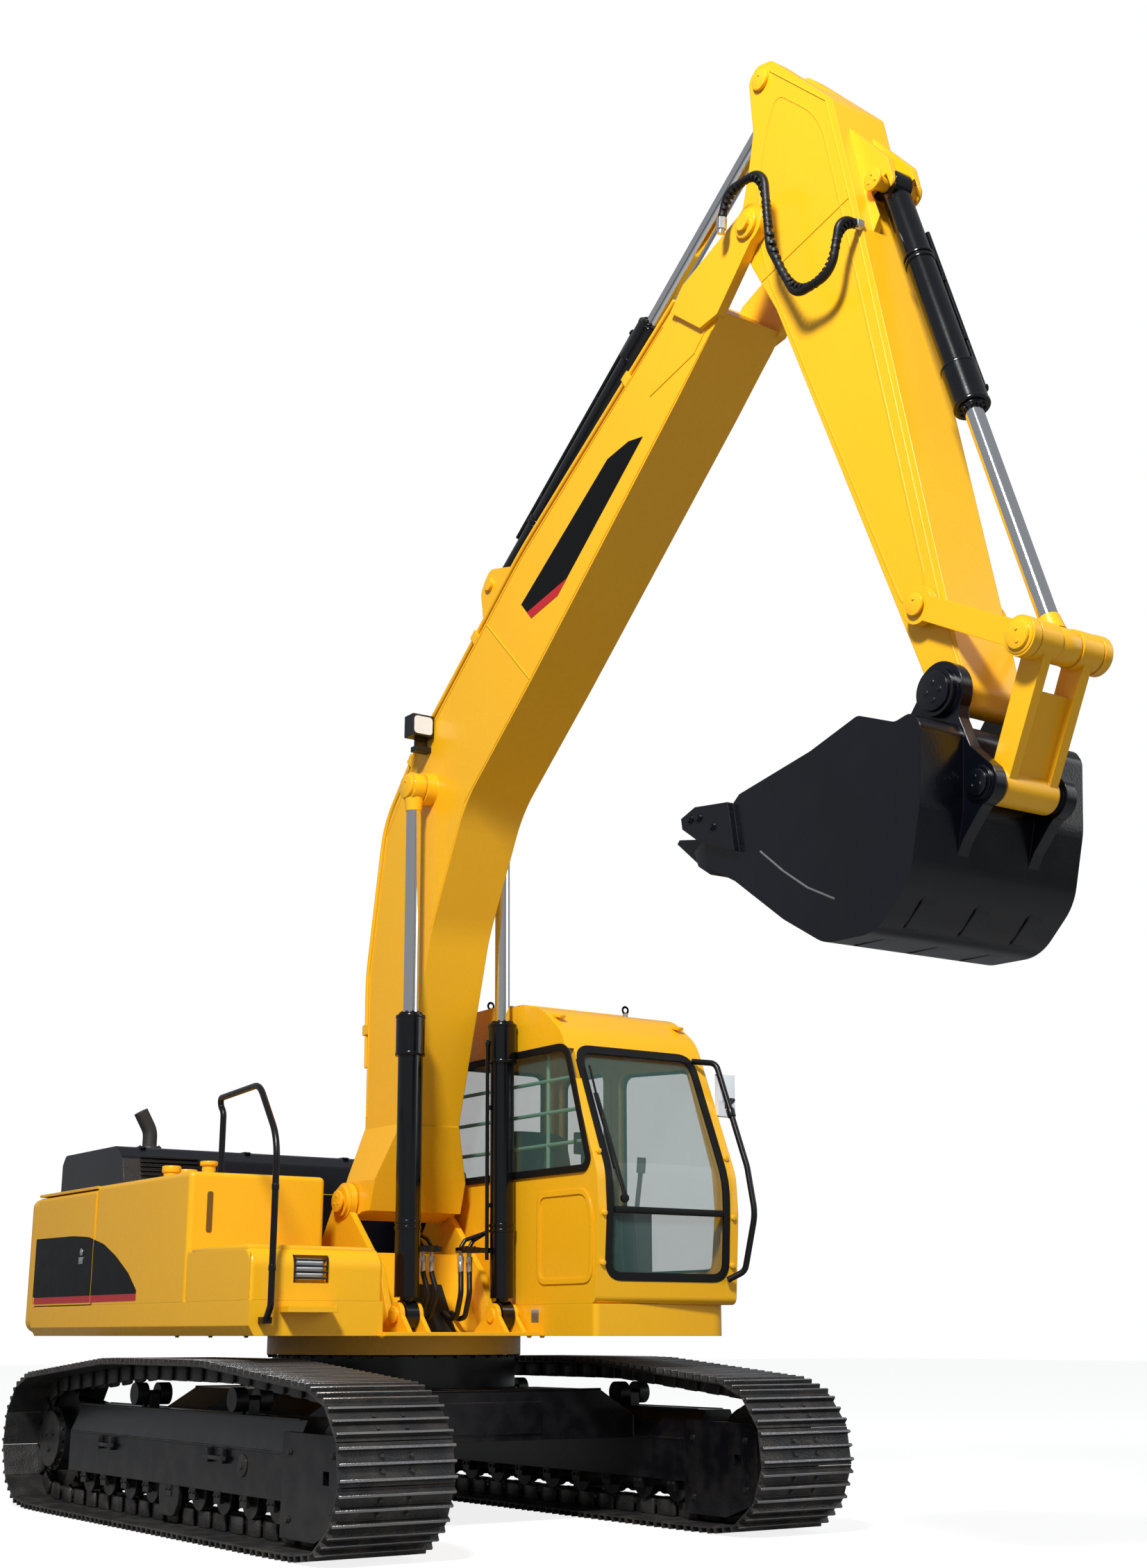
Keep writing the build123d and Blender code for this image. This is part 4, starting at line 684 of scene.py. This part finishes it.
for side, name in ((-1, "right"), (1, "left")):
    film = bmesh.new()
    slab(film, [beside(foot, tip, *p) for p in hexagon], side * 0.1956, side * 0.1966, "x")
    piece("boom_film_" + name, film, "boom_body", film_black)
    band = bmesh.new()
    slab(band, [beside(foot, tip, *p) for p in ((3.464, 0.612), (3.668, 0.442), (3.78, 0.417),
                                                (3.475, 0.675))], side * 0.1966, side * 0.1972, "x")
    piece("boom_film_stripe_" + name, band, "boom_body", film_red)

lamp = bmesh.new()
slab(lamp, rounded([(-0.344, 4.372), (-0.206, 4.372), (-0.206, 4.498), (-0.344, 4.498)], 0.025), -0.659,
     -0.57, "y", 0.008)
piece("work_lamp_shell", lamp, "boom_body", cover_black)
lens = bmesh.new()
slab(lens, rounded([(-0.336, 4.381), (-0.214, 4.381), (-0.214, 4.489), (-0.336, 4.489)], 0.025), -0.6635,
     -0.6585, "y", 0.001, 1)
piece("work_lamp_lens", lens, "boom_body", lens_glass)
paint(cover_black, "work_lamp")

frame_trim = bmesh.new()
for side in (-1, 1):
    pin_cap(frame_trim, side * 0.3795, foot, side, 0.062, 0.014)
    pin_cap(frame_trim, side * 0.3845, boom_base, side, 0.045, 0.01, 2)
    turned(frame_trim, (side * 0.346, 0.02, 1.729), (side * 0.352, 0.02, 1.729), 0.1, 40, 0.003)
    for y in (-0.93, -0.8, -0.3, 0.2, 0.7, 1.2, 1.7):
        bolt(frame_trim, (side * 0.5 - 0.1, y, 0.984), (0, 0, -1), 0.012, 0.01)
piece("frame_pins", frame_trim, "upper_structure", yellow)
# Painted shade: a thin black sheet laid over the opening in the frame stands for the shade inside it.
gap = bmesh.new()
slab(gap, [(-0.4335, 1.004), (-0.4345, 1.0035), (-0.262, 1.267), (-0.26, 1.266)], -0.15, 0.15, "x")
piece("frame_opening_shade", gap, "upper_structure", opening_shade_black)

# Boom hoses: rubber, with crimped silver fittings at their upper ends. They come out of the
# opening in the frame and lead to the blocks on the boom cylinders.
hose_rubber = coat("hose_rubber", (0.005, 0.005, 0.006), 0.45, tint=0.2, grain=0.1, edge=0, shine=0.35)
paint(hose_rubber, "boom_hoses")
hose_places = (-0.15, -0.095, 0.095, 0.15)
fittings = bmesh.new()
for x in hose_places:
    turned(fittings, (x, -0.5628, 1.325), (x, -0.5602, 1.378), 0.0178, 20, 0.002)
    turned(fittings, (x, -0.5602, 1.376), (x, -0.56, 1.3865), 0.0185, 6)
piece("hose_fittings", fittings, "upper_structure", bright_steel)

# Cylinders: steel barrels in gloss black with bolted heads, each on a pin at its base, and
# chromed rods that end in forged eyes in yellow enamel.
gloss_black = coat("gloss_black", (0.002, 0.0025, 0.004), 0.15, tint=0.2, grain=0.02, dust=0.02, edge=0.003)
paint(gloss_black, "boom_cylinder_barrels", "arm_cylinder_barrel", "bucket_cylinder_barrel")
paint(chrome, "boom_cylinder_rods", "arm_cylinder_rod", "bucket_cylinder_rod")
arm_base, arm_eye = (-1.100, 5.214), (-3.733, 7.049)
bucket_base, link_top = (-4.450, 6.119), (-5.245, 3.630)
boom_cylinder_x = 0.305


def cylinder_trim(name, x, base, eye, radius, length, body, pipe_way):
    """Head bolts, rings, bands and the oil pipe of one barrel."""
    shape = bmesh.new()
    run = Vector((0, eye[0] - base[0], eye[1] - base[1])).normalized()
    start = Vector((x, base[0], base[1]))
    side = run.cross(Vector((1, 0, 0)))
    for i in range(10):
        turn = 2 * pi * i / 10
        spot = start + run * length + (Vector((1, 0, 0)) * cos(turn) + side * sin(turn)) * (radius * 0.82)
        bolt(shape, spot, run, 0.007, 0.008)
    for along in (length - 0.24, length - 0.03, 0.45, 0.48):
        wide = radius + (0.0165 if along > length - 0.3 else 0.006)
        turned(shape, start + run * along, start + run * (along + 0.018), wide, 40, 0.003)
    way = Vector((pipe_way[0], 0, 0)) + side * pipe_way[1]
    way.normalize()
    line = [start + run * 0.3 + way * (radius + 0.02),
            start + run * (length - 0.12) + way * (radius + 0.02)]
    turned(shape, line[0], line[1], 0.011, 16)
    for along in (0.6, length * 0.7):
        spot = start + run * along + way * (radius + 0.01)
        turned(shape, spot - run * 0.012, spot + run * 0.012, 0.018, 8)
    turned(shape, start + run * (length - 0.12) + way * radius * 0.9, line[1] + way * 0.014, 0.017, 12,
           0.002)
    piece(name, shape, body, gloss_black)


cylinder_trim("boom_barrel_trim_right", -boom_cylinder_x, boom_base, boom_eye, 0.068, 1.64, "boom_barrels",
              (1, 0.3))
cylinder_trim("boom_barrel_trim_left", boom_cylinder_x, boom_base, boom_eye, 0.068, 1.64, "boom_barrels",
              (-1, 0.3))
cylinder_trim("arm_barrel_trim", 0, arm_base, arm_eye, 0.07, 1.825, "arm_barrel", (-0.5, 1))
cylinder_trim("bucket_barrel_trim", 0, bucket_base, link_top, 0.066, 1.365, "bucket_barrel", (1, 0.5))


def painted_eye(shape, x, base, eye, radius, half, rod):
    """Paint over a rod's forged eye and the neck that it is welded on."""
    turned(shape, (x - half, *eye), (x + half, *eye), radius, 48, 0.004)
    run = (Vector((0, *base)) - Vector((0, *eye))).normalized()
    spot = Vector((x, *eye))
    turned(shape, spot + run * radius * 0.8, spot + run * (radius + 0.06), rod + 0.012, 32,
           taper=rod + 0.003)


for name, body, x, base, eye, radius, half, rod in (
        ("boom_rod_eye_right", "boom_rods", -boom_cylinder_x, boom_base, boom_eye, 0.0855, 0.0385, 0.043),
        ("boom_rod_eye_left", "boom_rods", boom_cylinder_x, boom_base, boom_eye, 0.0855, 0.0385, 0.043),
        ("arm_rod_eye", "arm_rod", 0, arm_base, arm_eye, 0.0855, 0.0705, 0.05),
        ("bucket_rod_eye", "bucket_rod", 0, bucket_base, link_top, 0.0775, 0.0545, 0.042)):
    coating = bmesh.new()
    painted_eye(coating, x, base, eye, radius, half, rod)
    piece(name, coating, body, yellow)
eye_yellow = bmesh.new()
for side in (-1, 1):
    pin_cap(eye_yellow, side * 0.3425, boom_eye, side, 0.07, 0.022, 1)
piece("boom_eye_caps", eye_yellow, "boom_rods", yellow)
block = bmesh.new()
for side in (-1, 1):
    for x in (0.095, 0.15):
        brick(block, (side * x - 0.022, -0.642, 1.43), (side * x + 0.022, -0.536, 1.462), 0.004)
        for y in (-0.62, -0.59):
            bolt(block, (side * x, y, 1.462), (0, 0, 1), 0.006, 0.007)
        turned(block, (side * x, -0.56, 1.462), (side * (x + 0.03), -0.56, 1.505), 0.0115, 12)
        turned(block, (side * (x + 0.03), -0.56, 1.503), (side * 0.236, -0.6, 1.545), 0.0115, 12)
piece("hose_blocks", block, "boom_barrels", gloss_black)
stems = bmesh.new()
for x in hose_places:
    turned(stems, (x, -0.56, 1.3875), (x, -0.56, 1.412), 0.0195, 6)
    turned(stems, (x, -0.56, 1.41), (x, -0.56, 1.431), 0.013, 20)
piece("hose_stems", stems, "boom_barrels", bright_steel)

# Arm: a tapering welded box. Each side has a raised edge round a flat field; the lug plates
# at its top hold the rod's eye, and the hose in its spiral guard feeds the bucket cylinder.
paint(yellow, "arm")
side_link_pin = (-4.692, 3.931)
arm_trim = bmesh.new()
for side in (-1, 1):
    rim = [beside(tip, low_pin, a, h) for a, h in ((-0.70, 0.44), (-0.18, 0.655), (0.67, 0.505),
                                                   (2.55, 0.135), (2.90, 0.09))]
    for a, b in zip(rim, rim[1:]):
        turned(arm_trim, (side * 0.1655, *a), (side * 0.1655, *b), 0.004, 8)
    inner = [beside(tip, low_pin, a, h) for a, h in ((-0.55, 0.42), (-0.15, 0.59), (0.66, 0.44),
            (2.45, 0.10), (2.45, -0.05), (0.25, -0.05), (-0.1, 0.05), (-0.4, 0.27))]
    gasket(arm_trim, [Vector(p) for p in rounded([Vector(p) for p in inner], 0.16)],
           lambda p: (side * 0.1665, p.x, p.y), 0.012, 0.003)
    pin_cap(arm_trim, side * 0.165, arm_eye, side, 0.055, 0.02, 1)
    pin_cap(arm_trim, side * 0.119, bucket_base, side, 0.055, 0.016)
    pin_cap(arm_trim, side * 0.232, side_link_pin, side, 0.05, 0.012, 1)
piece("arm_rims", arm_trim, "arm_body", yellow)
seam = [beside(tip, low_pin, a, h) for a, h in ((0.42, 0.55), (0.30, -0.09))]
stitch = bmesh.new()
for side in (-1, 1):
    turned(stitch, (side * 0.1652, *seam[0]), (side * 0.1652, *seam[1]), 0.0035, 8)
piece("arm_seam", stitch, "arm_body", yellow)
paint(hose_rubber, "arm_hose")
spiral = bpy.data.curves.new("hose_route", "CURVE")
spiral.dimensions = "3D"
route = [(-0.295, -3.546, 6.300), (-0.295, -3.600, 6.440), (-0.295, -3.880, 6.420), (-0.295, -3.905, 5.980),
         (-0.295, -4.080, 5.640), (-0.295, -4.330, 5.640), (-0.295, -4.400, 5.890),
         (-0.1653, -4.400, 5.890)]
line = spiral.splines.new("NURBS")
line.points.add(len(route) - 1)
for point, spot in zip(line.points, route):
    point.co = (*spot, 1)
line.order_u = 3
line.use_endpoint_u = True
line.resolution_u = 40
guide = bpy.data.objects.new("hose_route", spiral)
bpy.context.scene.collection.objects.link(guide)
bpy.context.view_layer.update()
traced = bpy.data.meshes.new_from_object(guide)
track_points = [v.co.copy() for v in traced.vertices]
bpy.data.objects.remove(guide)
wrap = bmesh.new()
place_on = []
for a, b in zip(track_points, track_points[1:]):
    way = b - a
    steps = max(1, int(way.length / 0.0045))
    for i in range(steps):
        place_on.append((a.lerp(b, i / steps), way.normalized()))
for spot, way in place_on[::6]:
    turned(wrap, spot - way * 0.0075, spot + way * 0.0075, 0.0235, 12, taper=0.0205)
piece("hose_guard", wrap, "arm_body", hose_rubber)
collar = bmesh.new()
turned(collar, (-0.295, -3.546, 6.255), (-0.295, -3.552, 6.315), 0.027, 6)
turned(collar, (-0.295, -3.54, 6.235), (-0.295, -3.546, 6.26), 0.02, 16)
turned(collar, (-0.205, -4.4, 5.89), (-0.1655, -4.4, 5.89), 0.027, 6)
piece("arm_hose_fittings", collar, "arm_body", bright_steel)

# Links of the bucket, in yellow enamel: two flat side links on the arm's pin, and the H-shaped
# link on the bucket's pin. Both meet at the eye of the bucket cylinder's rod.
paint(yellow, "side_links", "h_link")
link_trim = bmesh.new()
for side in (-1, 1):
    pin_cap(link_trim, side * 0.225, link_top, side, 0.058, 0.016, 2)
    turned(link_trim, (side * 0.2245, *link_top), (side * 0.229, *link_top), 0.075, 36, 0.002)
piece("link_pins", link_trim, "side_link_body", yellow)

# Bucket: rolled shell between two side plates, with wear straps round the heel, bolted side
# cutters, cast tooth adapters on the lip and round pin covers, all in blue-black paint.
bucket_black = coat("bucket_black", (0.0015, 0.002, 0.005), 0.22, tint=0.5, grain=0.06, dust=0.02,
                    edge=0.006)
paint(bucket_black, "bucket", "bucket_teeth")
tooth = Vector((-3.330, 3.170))
bucket_link_pin = (-4.994, 3.087)
bucket_trim = bmesh.new()
beads = bmesh.new()
for side in (-1, 1):
    pin_cap(bucket_trim, side * 0.2585, low_pin, side, 0.085, 0.012, 4)
    pin_cap(bucket_trim, side * 0.241, bucket_link_pin, side, 0.055, 0.012, 3)
    for a, h in ((1.30, 0.0), (1.22, 0.08), (1.36, -0.02)):
        y, z = beside(low_pin, tooth, a, h)
        bolt(bucket_trim, (side * 0.4965, y, z), (side, 0, 0), 0.017, 0.014)
    curve = [beside(low_pin, tooth, a, h) for a, h in ((0.588, 0.70), (0.733, 0.585), (0.856, 0.455),
            (0.973, 0.31))]
    for a, b in zip(curve, curve[1:]):
        turned(beads, (side * 0.4655, *a), (side * 0.4655, *b), 0.005, 8)
half_width, side_plate, tooth_inset = 0.465, 0.025, 0.042
pitch_x = 2 * (half_width - side_plate - tooth_inset) / 4
for i in range(5):
    x = (i - 2) * pitch_x
    slab(bucket_trim, [beside(low_pin, tooth, a, h) for a,
                       h in ((1.22, 0.155), (1.36, 0.08), (1.43, 0.10), (1.42, 0.18), (1.35, 0.25),
                             (1.24, 0.31))],
         x - 0.048, x + 0.048, "x", 0.008)
piece("bucket_beads", beads, "bucket_body", worn_steel)
piece("tooth_adapters", bucket_trim, "bucket_body", bucket_black)
straps = bmesh.new()
heel = [(0.912, 0.654), (0.78, 0.775), (0.66, 0.862), (0.5, 0.9), (0.36, 0.905), (0.25, 0.85), (0.16, 0.76)]
for x in (-0.3, 0.0, 0.3):
    outer = [beside(low_pin, tooth, a, h + 0.002) for a, h in heel]
    inner = [beside(low_pin, tooth, a, h - 0.03) for a, h in heel]
    slab(straps, outer + inner[::-1], x - 0.04, x + 0.04, "x", 0.003, 1)
piece("wear_straps", straps, "bucket_body", bucket_black)

# Small blank plate of bare steel, glued to the enamel on the right of the cab's base, beside
# the boom cylinder.
plate = bmesh.new()
brick(plate, (0.3925, -0.905, 1.055), (0.394, -0.83, 1.125), 0.0006, 1)
piece("blank_plate", plate, "upper_structure", bright_steel)

# Studio: a pale floor, a wide soft key light from the left and front, a weaker fill from the
# right, and the camera where the photograph was taken from, close to the ground.
floor_mesh = bmesh.new()
bmesh.ops.create_grid(floor_mesh, x_segments=1, y_segments=1, size=60,
                      matrix=Matrix.Translation((0, 0, -0.002)))
ground = bpy.data.meshes.new("floor")
floor_mesh.to_mesh(ground)
floor_mesh.free()
floor = bpy.data.objects.new("floor", ground)
bpy.context.scene.collection.objects.link(floor)
floor_glow, floor_shade, sky_strength = 0.84, 0.3, 0.3


def seen_directly(nodes, links):
    """A node that is 1 for rays from the camera and rays that pass through the panes."""
    rays = nodes.new("ShaderNodeLightPath")
    most = nodes.new("ShaderNodeMath")
    most.operation = "MAXIMUM"
    links.new(rays.outputs["Is Camera Ray"], most.inputs[0])
    links.new(rays.outputs["Is Transmission Ray"], most.inputs[1])
    return most


def seen_white(name, plain):
    """A pale ground that the camera and reflections see as white, except in shadow."""
    material = bpy.data.materials.new(name)
    material.use_nodes = True
    nodes, links = material.node_tree.nodes, material.node_tree.links
    shader = nodes["Principled BSDF"]
    shader.inputs["Base Color"].default_value = plain
    shader.inputs["Roughness"].default_value = 0.9
    glow = nodes.new("ShaderNodeEmission")
    glow.inputs[0].default_value = (1, 1, 1, 1)
    glow.inputs[1].default_value = floor_glow
    most = seen_directly(nodes, links)
    total = nodes.new("ShaderNodeAddShader")
    pick = nodes.new("ShaderNodeMixShader")
    links.new(most.outputs[0], pick.inputs[0])
    links.new(shader.outputs[0], pick.inputs[1])
    links.new(shader.outputs[0], total.inputs[0])
    links.new(glow.outputs[0], total.inputs[1])
    links.new(total.outputs[0], pick.inputs[2])
    links.new(pick.outputs[0], nodes["Material Output"].inputs[0])
    return material


ground.materials.append(seen_white("pale_floor", (floor_shade, floor_shade, floor_shade, 1)))
world = bpy.data.worlds.new("studio")
bpy.context.scene.world = world
world.use_nodes = True
nodes, links = world.node_tree.nodes, world.node_tree.links
light = nodes["Background"]
light.inputs[0].default_value = (0.93, 0.96, 1.0, 1)
light.inputs[1].default_value = sky_strength
plain_sky = nodes.new("ShaderNodeBackground")
plain_sky.inputs[0].default_value = (1, 1, 1, 1)
plain_sky.inputs[1].default_value = 1.0
pick = nodes.new("ShaderNodeMixShader")
links.new(seen_directly(nodes, links).outputs[0], pick.inputs[0])
links.new(light.outputs[0], pick.inputs[1])
links.new(plain_sky.outputs[0], pick.inputs[2])
links.new(pick.outputs[0], nodes["World Output"].inputs[0])


def soft_lamp(name, spot, aim, size, power):
    """A square area light at a spot, aimed at another."""
    lamp = bpy.data.lights.new(name, "AREA")
    lamp.size = size
    lamp.energy = power
    held = bpy.data.objects.new(name, lamp)
    held.location = spot
    held.rotation_euler = (Vector(aim) - Vector(spot)).to_track_quat("-Z", "Y").to_euler()
    bpy.context.scene.collection.objects.link(held)


soft_lamp("key", (-9, -10, 13), (0, -1, 3), 2.2, 3100)
soft_lamp("fill", (10, -9, 7), (0, -1, 2.5), 7, 260)

yaw, pitch_up = radians(34.34), radians(15.65)
eye = bpy.data.cameras.new("camera")
eye.lens = 45.226
eye.sensor_width = 36
eye.clip_end = 200
camera = bpy.data.objects.new("camera", eye)
camera.location = (-5.7752, -10.2723, 0.9848)
forward = Vector((sin(yaw) * cos(pitch_up), cos(yaw) * cos(pitch_up), sin(pitch_up)))
camera.rotation_euler = forward.to_track_quat("-Z", "Y").to_euler()
bpy.context.scene.collection.objects.link(camera)
bpy.context.scene.camera = camera
bpy.context.scene.view_settings.view_transform = "Standard"
